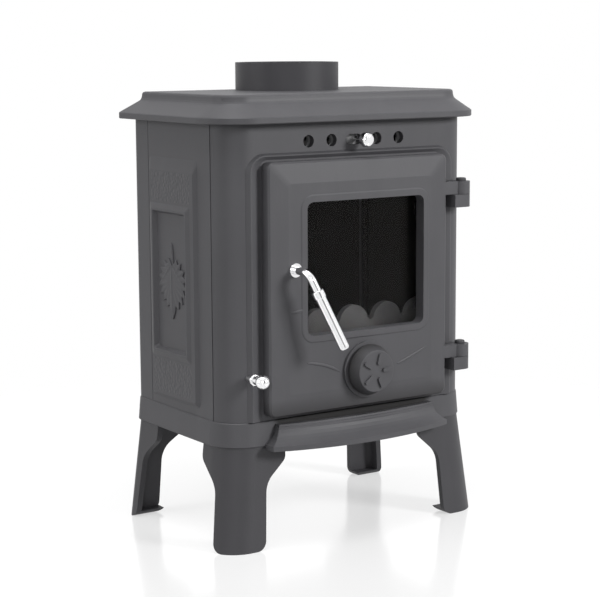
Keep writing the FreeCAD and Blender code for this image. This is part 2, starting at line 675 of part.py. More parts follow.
def ash_lip():
    """Ash lip: a trough with a moulded front, and two lugs that run back under the base ring."""
    reach = RING_PROUD_BOTTOM + CLEAR
    behind = block(-BODY_WIDTH, BODY_WIDTH, FRONT_Y - reach, BODY_DEPTH, ASH_LIP_LOW_Z - OVERRUN, LEG_HEIGHT)
    floor = block(-BODY_WIDTH, BODY_WIDTH, -BODY_DEPTH, BODY_DEPTH, ASH_LIP_LOW_Z, ASH_LIP_LOW_Z + ASH_LIP_EDGE)
    trough = ash_lip_form(ASH_LIP_WALL).cut(floor)
    shapes = [ash_lip_form(0).cut(trough).cut(base_solid()).cut(behind)]
    for side in (-1, 1):
        x0, x1 = side * ASH_LIP_BOLT_X - ASH_LIP_LUG / 2, side * ASH_LIP_BOLT_X + ASH_LIP_LUG / 2
        shapes.append(block(x0, x1, FRONT_Y - ASH_LIP_ROOT, FRONT_Y + ASH_LIP_LUG, ASH_LIP_LOW_Z, LEG_HEIGHT))
    shape = fused(shapes)
    for side in (-1, 1):
        hole = upright(ASH_LIP_BOLT_RADIUS + FIXED_FIT, side * ASH_LIP_BOLT_X, ASH_LIP_BOLT_Y,
                       ASH_LIP_LOW_Z - OVERRUN, LEG_HEIGHT + OVERRUN)
        shape = shape.cut(hole)
    return shape


def ash_lip_bolts():
    """Two hexagon bolts up through the ash lip's lugs."""
    bolts = []
    for side in (-1, 1):
        x, y = side * ASH_LIP_BOLT_X, ASH_LIP_BOLT_Y
        base = Vector(x, y, ASH_LIP_LOW_Z)
        head = hexagon(2 * ASH_LIP_BOLT_HEAD_RADIUS, base - Z_AXIS * ASH_LIP_BOLT_HEAD_HEIGHT, base)
        shank = upright(ASH_LIP_BOLT_RADIUS, x, y, ASH_LIP_LOW_Z - ASH_LIP_BOLT_RADIUS, LEG_HEIGHT)
        bolts.append(fused([head, shank]))
    return Part.makeCompound(bolts)


def side_panel(side):
    """Raised field of a side plate, with a framed recess in it."""
    y0, y1 = FRONT_SEAM_Y + PANEL_FRONT_MARGIN, BACK_SEAM_Y - PANEL_REAR_MARGIN
    z0, z1 = SEAM_Z + PANEL_LOW_MARGIN, SEAT_Z - PANEL_TOP_MARGIN
    face, top = side * HALF_W, side * (HALF_W + PANEL_PROUD)
    root = side * (HALF_W - WALL / 2)
    foot = rectangle(y0, y1, z0, z1, PANEL_BEVEL, side_plane(face))
    sunk = rectangle(y0, y1, z0, z1, PANEL_BEVEL, side_plane(root))
    inner = (y0 + PANEL_BEVEL, y1 - PANEL_BEVEL, z0 + PANEL_BEVEL, z1 - PANEL_TOP_BEVEL)
    crown = rectangle(*inner, PANEL_BEVEL / 2, side_plane(top))
    field = loft([sunk, foot, crown])
    y0, y1 = y0 + FRAME_SIDE_MARGIN, y1 - PANEL_BEVEL
    z0, z1 = z0 + FRAME_LOW_MARGIN, z1 - FRAME_TOP_MARGIN

    def ring(inset, x):
        return rectangle(y0 + inset, y1 - inset, z0 + inset, z1 - inset, FRAME_RIDGE, side_plane(x))

    crest, floor = top + side * FRAME_PROUD, top - side * FRAME_RECESS
    frame = loft([ring(0, root), ring(0, top), ring(FRAME_SLOPE, crest)])
    inset = FRAME_SLOPE + FRAME_RIDGE
    over = crest + side * OVERRUN
    recess = loft([ring(inset + FRAME_INNER_SLOPE, floor), ring(inset, crest), ring(inset, over)])
    return fused([field, frame]).cut(recess)


def side_plate_left():
    """Flat side casting with its raised panel and the lugs that carry the grate."""
    y0, y1 = FRONT_SEAM_Y + SEAM_GAP / 2, BACK_SEAM_Y - SEAM_GAP / 2
    wall = block(-HALF_W, -INNER_X, y0, y1, SEAM_Z, SEAT_Z)
    lugs = []
    half = GRATE_LUG_WIDTH / 2
    for y in (GRATE_Y0 + GRATE_LUG_FROM_END, BACK_SEAM_Y - SEAM_LIP / 2 - CLEAR - half):
        low = GRATE_Z0 - GRATE_LUG_HEIGHT
        lugs.append(block(-INNER_X - WALL / 2, -INNER_X + GRATE_LUG_REACH, y - half, y + half, low, GRATE_Z0))
    return fused([wall, side_panel(-1)] + lugs)


def back_plate():
    """Back casting that wraps both rear corners."""
    space = block(-BODY_WIDTH, BODY_WIDTH, BACK_SEAM_Y + SEAM_GAP / 2, BODY_DEPTH, SEAM_Z, SEAT_Z)
    lips = []
    for side in (-1, 1):
        lips.append(seam_lip(side, BACK_SEAM_Y - SEAM_LIP / 2, BACK_SEAM_Y + SEAM_LIP))
    shape = body_shell().common(space)
    return fused([shape] + [lip.cut(lip_side_relief()) for lip in lips])


def lip_side_relief():
    """Space that keeps an inner lip a little off the side plates."""
    y0, y1 = FRONT_SEAM_Y + SEAM_GAP / 2, BACK_SEAM_Y - SEAM_GAP / 2
    reach = INNER_X - CLEAR
    left = block(-BODY_WIDTH, -reach, y0 - SEAM_GAP, y1 + SEAM_GAP, SEAM_Z, SEAT_Z)
    return left.fuse(mirrored(left))


def surround():
    """Moulding round the door: outer slope, crest, slope down to the door's seat, gaps for the hinge arms."""
    crest_y = FRONT_Y - SURROUND_CREST

    def arch(side, head, low, y):
        half, top, radius = DOOR_HALF + side, DOOR_Z1 + head, DOOR_RADIUS + (side + head) / 2
        corners = [(-half, low, 0), (half, low, 0), (half, top, radius), (-half, top, radius)]
        return rounded_wire(corners, front_plane(y))

    side, head = SURROUND_SIDE + SURROUND_CREST_WIDTH, SURROUND_HEAD + SURROUND_CREST_WIDTH
    foot = (side + SURROUND_SIDE_FOOT, head + SURROUND_HEAD_FOOT, SEAM_Z)
    foot_y = FRONT_Y + SURROUND_PROUD
    shape = loft([arch(*foot, FRONT_Y + WALL / 2), arch(*foot, foot_y), arch(side, head, SEAM_Z, crest_y)])
    low = SEAM_Z - OVERRUN
    inner = (SURROUND_SIDE, SURROUND_HEAD, low)
    seat = arch(SURROUND_SEAT, SURROUND_SEAT, low, SURROUND_Y)
    shape = shape.cut(loft([seat, arch(*inner, crest_y), arch(*inner, crest_y - OVERRUN)]))
    for z in HINGE_ZS:
        z0, z1 = z - CLEAR / 2, z + HINGE_LUG + CLEAR
        shape = shape.cut(block(DOOR_HALF, HINGE_X, crest_y - OVERRUN, SURROUND_Y, z0, z1))
        shape = shape.cut(upright(HINGE_RADIUS + CLEAR, HINGE_X, HINGE_Y, z0, z1))
    return shape


def slot_prism(x, z, length, height, y0, y1):
    """Round-ended slot along X, cut along Y."""
    wire = rectangle(x - length / 2, x + length / 2, z - height / 2, z + height / 2,
                     height / 2 - FIXED_FIT, front_plane(y0))
    return prism(wire, Y_AXIS * (y1 - y0))


def hinge_barrel(z0, z1):
    """Round end of a hinge lug."""
    return upright(HINGE_RADIUS, HINGE_X, HINGE_Y, z0, z1)


def plate_lug(z):
    """Hinge lug that stands out of the front plate's corner, below its hinge line."""
    z0, z1 = z - HINGE_LUG, z - CLEAR / 2
    arm_x = HINGE_X - HINGE_RADIUS - HINGE_PLATE_ARM
    arm = block(arm_x, HINGE_X, HINGE_Y - HINGE_RADIUS, FRONT_Y + WALL / 2, z0, z1)
    wrap = block(HINGE_X - HINGE_RADIUS, HINGE_X + HINGE_RADIUS, HINGE_Y, FRONT_Y + WALL, z0, z1)
    inner = prism(body_outline(-WALL / 2, z0), Z_AXIS * HINGE_LUG)
    return fused([arm, wrap, hinge_barrel(z0, z1)]).cut(inner)


def front_plate():
    """Front casting that wraps both front corners, with door opening, air row and hinge lugs."""
    space = block(-BODY_WIDTH, BODY_WIDTH, -BODY_DEPTH, FRONT_SEAM_Y - SEAM_GAP / 2, SEAM_Z, SEAT_Z)
    shape = body_shell().common(space)
    lips = [seam_lip(side, FRONT_SEAM_Y - SEAM_LIP, FRONT_SEAM_Y + SEAM_LIP / 2) for side in (-1, 1)]
    lips = [lip.cut(lip_side_relief()) for lip in lips]
    shape = fused([shape, surround()] + lips + [plate_lug(z) for z in HINGE_ZS])
    far_front, far_back = HINGE_Y - HINGE_RADIUS - OVERRUN, INNER_FRONT_Y + OVERRUN
    plane = front_plane(far_front)
    opening = rectangle(-OPENING_HALF, OPENING_HALF, OPENING_Z0, OPENING_Z1, OPENING_RADIUS, plane)
    cuts = [prism(opening, Y_AXIS * (far_back - far_front))]
    cuts += [along_y(AIR_HOLE_RADIUS, x, AIR_Z, far_front, far_back) for x in AIR_HOLE_XS]
    cuts.append(slot_prism(AIR_X, AIR_Z, AIR_SLOT_LENGTH, AIR_SLOT_HEIGHT, far_front, far_back))
    cuts.append(along_y(RIDDLE_RADIUS + RUN_FIT, RIDDLE_X, RIDDLE_Z, far_front, FRONT_SEAM_Y))
    for z in HINGE_ZS:
        low = z - HINGE_LUG - OVERRUN
        cuts.append(upright(HINGE_PIN_RADIUS + FIXED_FIT, HINGE_X, HINGE_Y, low, z + OVERRUN))
    for cut in cuts:
        shape = shape.cut(cut)
    return shape


def top_plate():
    """Moulded top plate, hollow below, with a round seat and hole for the flue collar."""
    wires = []
    for inset, rise in RIM_SECTION_SHARES:
        wires.append(rim_outline(inset * RIM_INSET, RIM_BOTTOM_Z + rise * RIM_RISE))
    seat = upright(COLLAR_RADIUS + COLLAR_PAD, 0, COLLAR_BACK, TOP_Z - TOP_THICK, TOP_Z)
    shape = fused([loft(wires), seat])
    shape = shape.cut(prism(rim_outline(RIM_LIP, RIM_BOTTOM_Z - OVERRUN), Z_AXIS * (RIM_DROP + OVERRUN)))
    hollow = prism(rim_outline(RIM_INSET + TOP_THICK, SEAT_Z), Z_AXIS * (TOP_Z - TOP_THICK - SEAT_Z))
    hollow = hollow.fuse(upright(COLLAR_BORE, 0, COLLAR_BACK, SEAT_Z, TOP_Z - TOP_THICK))
    bosses = [upright(ROD_BOSS_RADIUS, x, y, SEAT_Z, TOP_Z - TOP_THICK / 2) for x, y in ROD_PLACES]
    shape = fused([shape.cut(hollow)] + bosses)
    for x, y in ROD_PLACES:
        shape = shape.cut(upright(ROD_RADIUS + FIXED_FIT, x, y, SEAT_Z - OVERRUN, SEAT_Z + ROD_BOSS_HEIGHT))
    hole = upright(COLLAR_BORE, 0, COLLAR_BACK, SEAT_Z, TOP_Z + OVERRUN)
    for x, y in collar_lug_places():
        hole = hole.cut(upright(COLLAR_LUG_RADIUS, x, y, SEAT_Z - OVERRUN, TOP_Z + 2 * OVERRUN))
    shape = shape.cut(hole)
    for x, y in collar_lug_places():
        shape = shape.cut(upright(COLLAR_BOLT_RADIUS + FIXED_FIT, x, y, SEAT_Z, TOP_Z + OVERRUN))
    return shape


def collar_lug_places():
    """Plan places of the bolts that hold the flue collar."""
    places = []
    for turn in COLLAR_TURNS:
        angle = math.radians(turn)
        places.append((COLLAR_LUG_CIRCLE * math.cos(angle), COLLAR_BACK + COLLAR_LUG_CIRCLE * math.sin(angle)))
    return places


def flue_collar():
    """Round flue spigot with three bolt lugs inside its foot."""
    top = TOP_Z + COLLAR_HEIGHT
    shape = upright(COLLAR_RADIUS, 0, COLLAR_BACK, TOP_Z, top)
    shape = shape.cut(upright(COLLAR_BORE, 0, COLLAR_BACK, TOP_Z - OVERRUN, top + OVERRUN))
    lugs = [upright(COLLAR_LUG_RADIUS, x, y, TOP_Z, TOP_Z + COLLAR_LUG_HEIGHT) for x, y in collar_lug_places()]
    shape = fused([shape] + lugs)
    for x, y in collar_lug_places():
        shape = shape.cut(upright(COLLAR_BOLT_RADIUS + FIXED_FIT, x, y, TOP_Z - OVERRUN, top))
    return shape


def collar_bolts():
    """Hexagon bolts down through the collar's lugs into the top plate, each with its nut."""
    bolts = []
    head = COLLAR_BOLT_RADIUS * BOLT_HEAD_SHARE
    height = COLLAR_BOLT_RADIUS * BOLT_HEAD_HEIGHT_SHARE
    upper, lower = TOP_Z + COLLAR_LUG_HEIGHT, TOP_Z - TOP_THICK
    for x, y in collar_lug_places():
        shank = upright(COLLAR_BOLT_RADIUS, x, y, lower - height, upper + height / 2)
        cap = hexagon(2 * head, Vector(x, y, upper), Vector(x, y, upper + height))
        nut = hexagon(2 * head, Vector(x, y, lower - height), Vector(x, y, lower))
        bolts.append(fused([shank, cap, nut]))
    return Part.makeCompound(bolts)


def tie_rods():
    """Four rods from under the legs up into the top plate's bosses."""
    low, high = TAB_Z - ROD_TAIL, SEAT_Z + ROD_BOSS_HEIGHT - CLEAR
    return Part.makeCompound([upright(ROD_RADIUS, x, y, low, high) for x, y in ROD_PLACES])


def tie_nuts():
    """Nuts that draw the legs and the base up on the tie rods."""
    nuts = []
    for x, y in ROD_PLACES:
        nut = hexagon(NUT_ACROSS, Vector(x, y, TAB_Z - NUT_HEIGHT), Vector(x, y, TAB_Z))
        low = TAB_Z - NUT_HEIGHT - OVERRUN
        nuts.append(nut.cut(upright(ROD_RADIUS + FIXED_FIT, x, y, low, TAB_Z + OVERRUN)))
    return Part.makeCompound(nuts)


def hinge_pins():
    """Two headed pins that stand in the front plate's lugs."""
    pins = []
    for z in HINGE_ZS:
        top = z + HINGE_LUG + CLEAR
        shank = upright(HINGE_PIN_RADIUS, HINGE_X, HINGE_Y, z - HINGE_LUG, top)
        head = rounded_end(HINGE_PIN_HEAD_HEIGHT, HINGE_PIN_HEAD_RADIUS, HINGE_PIN_HEAD_HEIGHT / 2, 3)
        cap = revolved([(0, 0), (0, HINGE_PIN_HEAD_RADIUS)] + head + [(HINGE_PIN_HEAD_HEIGHT, 0)],
                       Vector(HINGE_X, HINGE_Y, top), Z_AXIS, X_AXIS)
        pins.append(fused([shank, cap]))
    return Part.makeCompound(pins)


def air_slide_rails():
    """Upper and lower rails on the front plate's inner face, which hold the air slide."""
    half = AIR_HOLE_PAIRS * AIR_HOLE_PITCH + AIR_SLIDE_END + AIR_RAIL_END
    rails = []
    for side in (-1, 1):
        edge = AIR_Z + side * AIR_SLIDE_HEIGHT / 2
        near, far = edge + side * CLEAR, edge + side * (CLEAR + AIR_RAIL_WIDTH)
        z0, z1 = sorted((near, far))
        back = AIR_SLIDE_BACK_Y + CLEAR
        foot = block(AIR_X - half, AIR_X + half, INNER_FRONT_Y, back + AIR_RAIL_LIP_THICK, z0, z1)
        z0, z1 = sorted((edge - side * AIR_RAIL_LIP, far))
        lip = block(AIR_X - half, AIR_X + half, back, back + AIR_RAIL_LIP_THICK, z0, z1)
        rails.append(fused([foot, lip]))
    return Part.makeCompound(rails)


def air_slide_plate():
    """Sliding shutter behind the air holes; its holes line up when the knob is pushed to the right."""
    half = AIR_HOLE_PAIRS * AIR_HOLE_PITCH + AIR_SLIDE_END
    shift = AIR_REST - (AIR_SLOT_LENGTH / 2 - AIR_STEM_RADIUS)
    z0, z1 = AIR_Z - AIR_SLIDE_HEIGHT / 2, AIR_Z + AIR_SLIDE_HEIGHT / 2
    shape = block(AIR_X + shift - half, AIR_X + shift + half, AIR_SLIDE_FRONT_Y, AIR_SLIDE_BACK_Y, z0, z1)
    for x in AIR_HOLE_XS:
        ends = (AIR_SLIDE_FRONT_Y - OVERRUN, AIR_SLIDE_BACK_Y + OVERRUN)
        hole = along_y(AIR_HOLE_RADIUS, x + shift, AIR_Z, *ends)
        shape = shape.cut(hole)
    return shape


def air_slide_knob():
    """Round knob on a stem that passes through the air slot."""
    x, base = AIR_X + AIR_REST, FRONT_Y - AIR_KNOB_STAND
    stem = along_y(AIR_STEM_RADIUS, x, AIR_Z, AIR_SLIDE_FRONT_Y, base - AIR_STEM_RADIUS)
    face = rounded_end(AIR_KNOB_LENGTH, AIR_KNOB_RADIUS, AIR_KNOB_RADIUS * AIR_KNOB_ROUND_SHARE, ARC_STEPS)
    waist = AIR_KNOB_RADIUS * AIR_KNOB_WAIST_SHARE
    flare = AIR_KNOB_LENGTH * AIR_KNOB_FLARE_SHARE
    profile = [(0, 0), (0, waist), (flare, AIR_KNOB_RADIUS)] + face + [(AIR_KNOB_LENGTH, 0)]
    return fused([stem, revolved(profile, Vector(x, base, AIR_Z), FORWARD, X_AXIS)])


def door_rect(grow, radius, y):
    """Door outline at depth y, drawn in by a negative grow."""
    half = DOOR_HALF + grow
    return rectangle(-half, half, DOOR_Z0 - grow, DOOR_Z1 + grow, radius, front_plane(y))


def window_rect(grow, radius, y):
    """Window outline at depth y, grown outwards by grow."""
    across = (WINDOW_X0 - grow, WINDOW_X1 + grow)
    return rectangle(*across, WINDOW_Z0 - grow, WINDOW_Z1 + grow, radius, front_plane(y))


def rope_path_rect(grow, y):
    """Outline at a distance from the middle of the door's rope groove."""
    mid = OPENING_LAP / 2
    return door_rect(grow - mid, DOOR_RADIUS + grow, y)


def door_lug(z):
    """Hinge lug on the door, above its hinge line."""
    z0, z1 = z + CLEAR / 2, z + HINGE_LUG
    back = DOOR_BACK_Y - CLEAR
    arm = block(DOOR_HALF - HINGE_ARM, HINGE_X, back - HINGE_ARM_THICK, back, z0, z1)
    return fused([arm, hinge_barrel(z0, z1)])


def window_band():
    """Low bevelled band round the window, cut back round the handle's bush."""
    face = DOOR_FACE_Y - WINDOW_BAND_PROUD
    radius = WINDOW_RADIUS + WINDOW_BAND - WINDOW_BAND_BEVEL
    foot = [window_rect(WINDOW_BAND, WINDOW_RADIUS + WINDOW_BAND, y) for y in (DOOR_EDGE_Y, DOOR_FACE_Y)]
    band = loft(foot + [window_rect(WINDOW_BAND - WINDOW_BAND_BEVEL, radius, face)])
    return band.cut(along_y(BUSH_FLANGE + CLEAR, SPINDLE_X, SPINDLE_Z, face - OVERRUN, DOOR_FACE_Y))


def door():
    """Door casting: crowned face, window, rope groove, wheel boss and hinge lugs."""
    levels = [
        door_rect(0, DOOR_RADIUS, DOOR_BACK_Y), door_rect(0, DOOR_RADIUS, DOOR_EDGE_Y + DOOR_EDGE_ROUND),
        door_rect(-DOOR_EDGE_ROUND, DOOR_RADIUS - DOOR_EDGE_ROUND, DOOR_EDGE_Y),
        door_rect(-DOOR_BORDER, DOOR_CROWN_RADIUS, DOOR_FACE_Y),
    ]
    boss = along_y(WHEEL_BOSS_RADIUS, WHEEL_X, WHEEL_Z, DOOR_EDGE_Y, WHEEL_BOSS_Y)
    inner_boss = along_y(SPINDLE_BOSS_RADIUS, SPINDLE_X, SPINDLE_Z, DOOR_EDGE_Y, TONGUE_FRONT_Y - CLEAR)
    shape = fused([loft(levels), window_band(), boss, inner_boss] + [door_lug(z) for z in HINGE_ZS])
    front, back = WHEEL_BOSS_Y - OVERRUN, TONGUE_FRONT_Y + OVERRUN
    cuts = [prism(window_rect(0, WINDOW_RADIUS, front), Y_AXIS * (back - front))]
    rebate = window_rect(GLASS_LAP + CLEAR, WINDOW_RADIUS, REBATE_Y)
    cuts.append(prism(rebate, Y_AXIS * (DOOR_BACK_Y - REBATE_Y + OVERRUN)).cut(
        along_y(SPINDLE_BOSS_RADIUS, SPINDLE_X, SPINDLE_Z, front, back)))
    floor_y = DOOR_BACK_Y - 2 * ROPE_RADIUS + ROPE_PROUD
    half = ROPE_RADIUS + ROPE_SIDE_GAP
    groove = prism(rope_path_rect(half, floor_y), Y_AXIS * (DOOR_BACK_Y - floor_y + OVERRUN))
    island = prism(rope_path_rect(-half, floor_y - OVERRUN), Y_AXIS * (DOOR_BACK_Y - floor_y + 3 * OVERRUN))
    cuts.append(groove.cut(island))
    cuts.append(along_y(BUSH_RADIUS + FIXED_FIT, SPINDLE_X, SPINDLE_Z, front, back))
    cuts.append(along_y(STUD_RADIUS + FIXED_FIT, WHEEL_X, WHEEL_Z, front, back))
    for index in range(WHEEL_HOLE_COUNT):
        turn = 2 * math.pi * index / WHEEL_HOLE_COUNT
        x, z = WHEEL_X + WHEEL_HOLE_CIRCLE * math.cos(turn), WHEEL_Z + WHEEL_HOLE_CIRCLE * math.sin(turn)
        cuts.append(along_y(WHEEL_HOLE_RADIUS, x, z, front, back))
    for z in HINGE_ZS:
        cuts.append(upright(HINGE_PIN_RADIUS + RUN_FIT, HINGE_X, HINGE_Y, z - OVERRUN, z + HINGE_LUG + OVERRUN))
    for x, z in clip_screw_places():
        cuts.append(along_y(CLIP_SCREW_RADIUS + FIXED_FIT, x, z, DOOR_BACK_Y - CLIP_SCREW_DEPTH, back))
    for cut in cuts:
        shape = shape.cut(cut)
    return shape


def door_rope_seal():
    """Round rope in the door's groove."""
    y = DOOR_BACK_Y + ROPE_PROUD - ROPE_RADIUS
    path = rope_path_rect(0, y)
    start = path.Edges[-1].Curve.value(path.Edges[-1].FirstParameter)
    tangent = path.Edges[-1].tangentAt(path.Edges[-1].FirstParameter)
    section = Part.Wire(Part.Circle(start, tangent, ROPE_RADIUS).toShape())
    edges = path.Edges
    turned = Part.Wire(edges[-1:] + edges[:-1])
    return turned.makePipeShell([section], True, True)


def door_glass():
    """Flat glass pane."""
    return prism(window_rect(GLASS_LAP, WINDOW_RADIUS, GLASS_FRONT_Y), Y_AXIS * GLASS_THICK)


def glass_gasket():
    """Flat gasket ring between the door and the glass."""
    ring = prism(window_rect(GLASS_LAP, WINDOW_RADIUS, REBATE_Y), Y_AXIS * GASKET_THICK)
    inner = window_rect(GLASS_LAP - GASKET_WIDTH, WINDOW_RADIUS, REBATE_Y - OVERRUN)
    return ring.cut(prism(inner, Y_AXIS * (GASKET_THICK + 2 * OVERRUN)))


def clip_places():
    """Side and height of each clip that holds the glass."""
    height = WINDOW_Z1 - WINDOW_Z0
    return [(side, WINDOW_Z0 + share * height) for side in (-1, 1) for share in CLIP_RISE_SHARES]


def clip_edge(side):
    """X of the glass edge on one side."""
    return WINDOW_X0 - GLASS_LAP if side < 0 else WINDOW_X1 + GLASS_LAP


def clip_screw_places():
    """Places of the screws that hold the glass clips."""
    return [(clip_edge(side) + side * (CLEAR + CLIP_FOOT / 2), z) for side, z in clip_places()]


def glass_clips():
    """Four joggled clips, each with a foot on the door and a lip over the glass."""
    clips = []
    for side, z in clip_places():
        edge = clip_edge(side)
        z0, z1 = z - CLIP_WIDTH / 2, z + CLIP_WIDTH / 2
        far = edge + side * (CLEAR + CLIP_FOOT)
        step = edge + side * CLEAR
        tip = edge - side * CLIP_LAP
        foot = block(*sorted((step, far)), DOOR_BACK_Y, DOOR_BACK_Y + CLIP_THICK, z0, z1)
        riser = block(*sorted((step, step + side * CLIP_THICK)), DOOR_BACK_Y, GLASS_BACK_Y + CLIP_THICK, z0, z1)
        lip = block(*sorted((tip, step + side * CLIP_THICK)), GLASS_BACK_Y, GLASS_BACK_Y + CLIP_THICK, z0, z1)
        clip = fused([foot, riser, lip])
        x = edge + side * (CLEAR + CLIP_FOOT / 2)
        hole = along_y(CLIP_SCREW_RADIUS + FIXED_FIT, x, z, DOOR_BACK_Y - OVERRUN, GLASS_BACK_Y + OVERRUN)
        clips.append(clip.cut(hole))
    return Part.makeCompound(clips)


def glass_clip_screws():
    """Round-headed screws of the glass clips."""
    screws = []
    base = DOOR_BACK_Y + CLIP_THICK
    head = CLIP_SCREW_RADIUS * BOLT_HEAD_SHARE
    for x, z in clip_screw_places():
        shank = along_y(CLIP_SCREW_RADIUS, x, z, DOOR_BACK_Y - CLIP_SCREW_DEPTH + CLEAR, base)
        screws.append(fused([shank, along_y(head, x, z, base, base + CLIP_SCREW_RADIUS)]))
    return Part.makeCompound(screws)


def handle_bush():
    """Flanged bush that carries the handle's spindle through the door."""
    end = TONGUE_FRONT_Y - CLEAR
    tube = along_y(BUSH_RADIUS, SPINDLE_X, SPINDLE_Z, DOOR_FACE_Y, end)
    flange = along_y(BUSH_FLANGE, SPINDLE_X, SPINDLE_Z, DOOR_FACE_Y - BUSH_FLANGE_THICK, DOOR_FACE_Y)
    ahead = DOOR_FACE_Y - 2 * BUSH_FLANGE_THICK
    bore = along_y(SPINDLE_RADIUS + RUN_FIT, SPINDLE_X, SPINDLE_Z, ahead, end + OVERRUN)
    return fused([tube, flange]).cut(bore)


def grip_direction():
    """Direction from the handle's bend to its tip."""
    swing, tilt = math.radians(HANDLE_SWING), math.radians(HANDLE_TILT)
    return Vector(math.cos(tilt) * math.sin(swing), -math.sin(tilt), -math.cos(tilt) * math.cos(swing))


def handle_corner():
    """Point where the spindle's line meets the grip's line."""
    return Vector(SPINDLE_X, DOOR_FACE_Y - SPINDLE_STAND, SPINDLE_Z)


def handle_rod():
    """Bent round bar: spindle, bend and neck."""
    corner = handle_corner()
    back = Vector(SPINDLE_X, TONGUE_BACK_Y + LATCH_NUT_HEIGHT, SPINDLE_Z)
    tip = corner + grip_direction() * HANDLE_NECK
    inward, outward = (back - corner).normalize(), grip_direction()
    half_angle = inward.getAngle(outward) / 2
    reach = HANDLE_BEND / math.tan(half_angle)
    middle = corner + (inward + outward).normalize() * (HANDLE_BEND / math.sin(half_angle) - HANDLE_BEND)
    start, end = corner + inward * reach, corner + outward * reach
    arc = Part.Arc(start, middle, end).toShape()
    path = Part.Wire([Part.makeLine(back, start), arc, Part.makeLine(end, tip)])
    section = Part.Wire(Part.Circle(back, FORWARD, SPINDLE_RADIUS).toShape())
    return path.makePipeShell([section], True, True)


def grip_side():
    """A direction square to the grip."""
    return grip_direction().cross(Y_AXIS).normalize()


def handle_ferrule():
    """Collar between the handle's neck and its grip."""
    end = rounded_end(FERRULE_LENGTH, FERRULE_RADIUS, FERRULE_ROUND, 2)
    start = [(FERRULE_LENGTH - along, radius) for along, radius in reversed(end)]
    profile = [(0, 0)] + start + end + [(FERRULE_LENGTH, 0)]
    return revolved(profile, handle_corner() + grip_direction() * HANDLE_NECK, grip_direction(), grip_side())


def handle_grip():
    """Tubular grip with a rounded tip."""
    length = HANDLE_LENGTH - HANDLE_NECK - FERRULE_LENGTH
    profile = [(0, 0), (0, GRIP_RADIUS)] + rounded_end(length, GRIP_RADIUS, GRIP_ROUND, 4) + [(length, 0)]
    start = handle_corner() + grip_direction() * (HANDLE_NECK + FERRULE_LENGTH)
    return revolved(profile, start, grip_direction(), grip_side())


def latch_tongue():
    """Tongue on the spindle's inner end: hangs down when free, turns behind the front plate to hold."""
    hub = along_y(TONGUE_HUB, SPINDLE_X, SPINDLE_Z, TONGUE_FRONT_Y, TONGUE_BACK_Y)
    half = TONGUE_WIDTH / 2
    low = SPINDLE_Z - TONGUE_LENGTH
    plane = front_plane(TONGUE_FRONT_Y)
    arm = rectangle(SPINDLE_X - half, SPINDLE_X + half, low, SPINDLE_Z, half - LEAST_RADIUS, plane)
    shape = fused([hub, prism(arm, Y_AXIS * TONGUE_THICK)])
    return shape.cut(along_y(SPINDLE_RADIUS + FIXED_FIT, SPINDLE_X, SPINDLE_Z, TONGUE_FRONT_Y - OVERRUN,
                             TONGUE_BACK_Y + OVERRUN))


def latch_nut():
    """Nut that holds the tongue on the spindle."""
    start = Vector(SPINDLE_X, TONGUE_BACK_Y, SPINDLE_Z)
    end = Vector(SPINDLE_X, TONGUE_BACK_Y + LATCH_NUT_HEIGHT, SPINDLE_Z)
    hole = along_y(SPINDLE_RADIUS + FIXED_FIT, SPINDLE_X, SPINDLE_Z, TONGUE_BACK_Y - OVERRUN,
                   TONGUE_BACK_Y + LATCH_NUT_HEIGHT + OVERRUN)
    return hexagon(NUT_ACROSS, start, end).cut(hole)


def wheel_point(y):
    """Point on the air wheel's axis."""
    return Vector(WHEEL_X, y, WHEEL_Z)


def air_wheel():
    """Tapered air wheel with a rounded edge, raised bars on its face and a threaded hub inside."""
    profile = [(0, 0), (0, WHEEL_RADIUS), (WHEEL_RIM, WHEEL_RADIUS)]
    for step in range(ARC_STEPS + 1):
        turn = math.pi / 2 * step / ARC_STEPS
        along = WHEEL_THICK - WHEEL_EDGE_ROUND + WHEEL_EDGE_ROUND * math.sin(turn)
        profile.append((along, WHEEL_FACE_RADIUS + WHEEL_EDGE_ROUND * math.cos(turn)))
    profile.append((WHEEL_THICK, 0))
    shape = revolved(profile, wheel_point(WHEEL_BACK_Y), FORWARD, X_AXIS)
    bars = []
    near, far = (share * WHEEL_FACE_RADIUS for share in WHEEL_BAR_SHARES)
    half = WHEEL_BAR_WIDTH / 2
    sunk = WHEEL_FACE_Y + WHEEL_SKIN / 2
    for index in range(WHEEL_BAR_COUNT):
        wire = rectangle(near, far, -half, half, half - FIXED_FIT, front_plane(sunk))
        rib = prism(wire, FORWARD * (WHEEL_BAR_HEIGHT + WHEEL_SKIN / 2))
        rib.rotate(Vector(0, 0, 0), FORWARD, WHEEL_BAR_TURN + 360 * index / WHEEL_BAR_COUNT)
        rib.translate(Vector(WHEEL_X, 0, WHEEL_Z))
        bars.append(rib)
    shape = fused([shape] + bars)
    back = WHEEL_BACK_Y + OVERRUN
    pocket = bar(SPRING_POCKET_RADIUS, wheel_point(back), wheel_point(POCKET_END_Y))
    pocket = pocket.cut(bar(HUB_RADIUS, wheel_point(back + OVERRUN), wheel_point(POCKET_END_Y - OVERRUN)))
    return shape.cut(pocket).cut(bar(STUD_RADIUS + RUN_FIT, wheel_point(back), wheel_point(BORE_END_Y)))


def air_wheel_stud():
    """Threaded stud through the door, on which the air wheel turns."""
    inner = DOOR_BACK_Y + NUT_HEIGHT + STUD_RADIUS / 2
    return bar(STUD_RADIUS, wheel_point(inner), wheel_point(BORE_END_Y + STUD_SHORT))


def air_wheel_nut():
    """Nut that fixes the stud on the inside of the door."""
    nut = hexagon(NUT_ACROSS, wheel_point(DOOR_BACK_Y), wheel_point(DOOR_BACK_Y + NUT_HEIGHT))
    back = DOOR_BACK_Y + NUT_HEIGHT + OVERRUN
    return nut.cut(bar(STUD_RADIUS + FIXED_FIT, wheel_point(DOOR_BACK_Y - OVERRUN), wheel_point(back)))


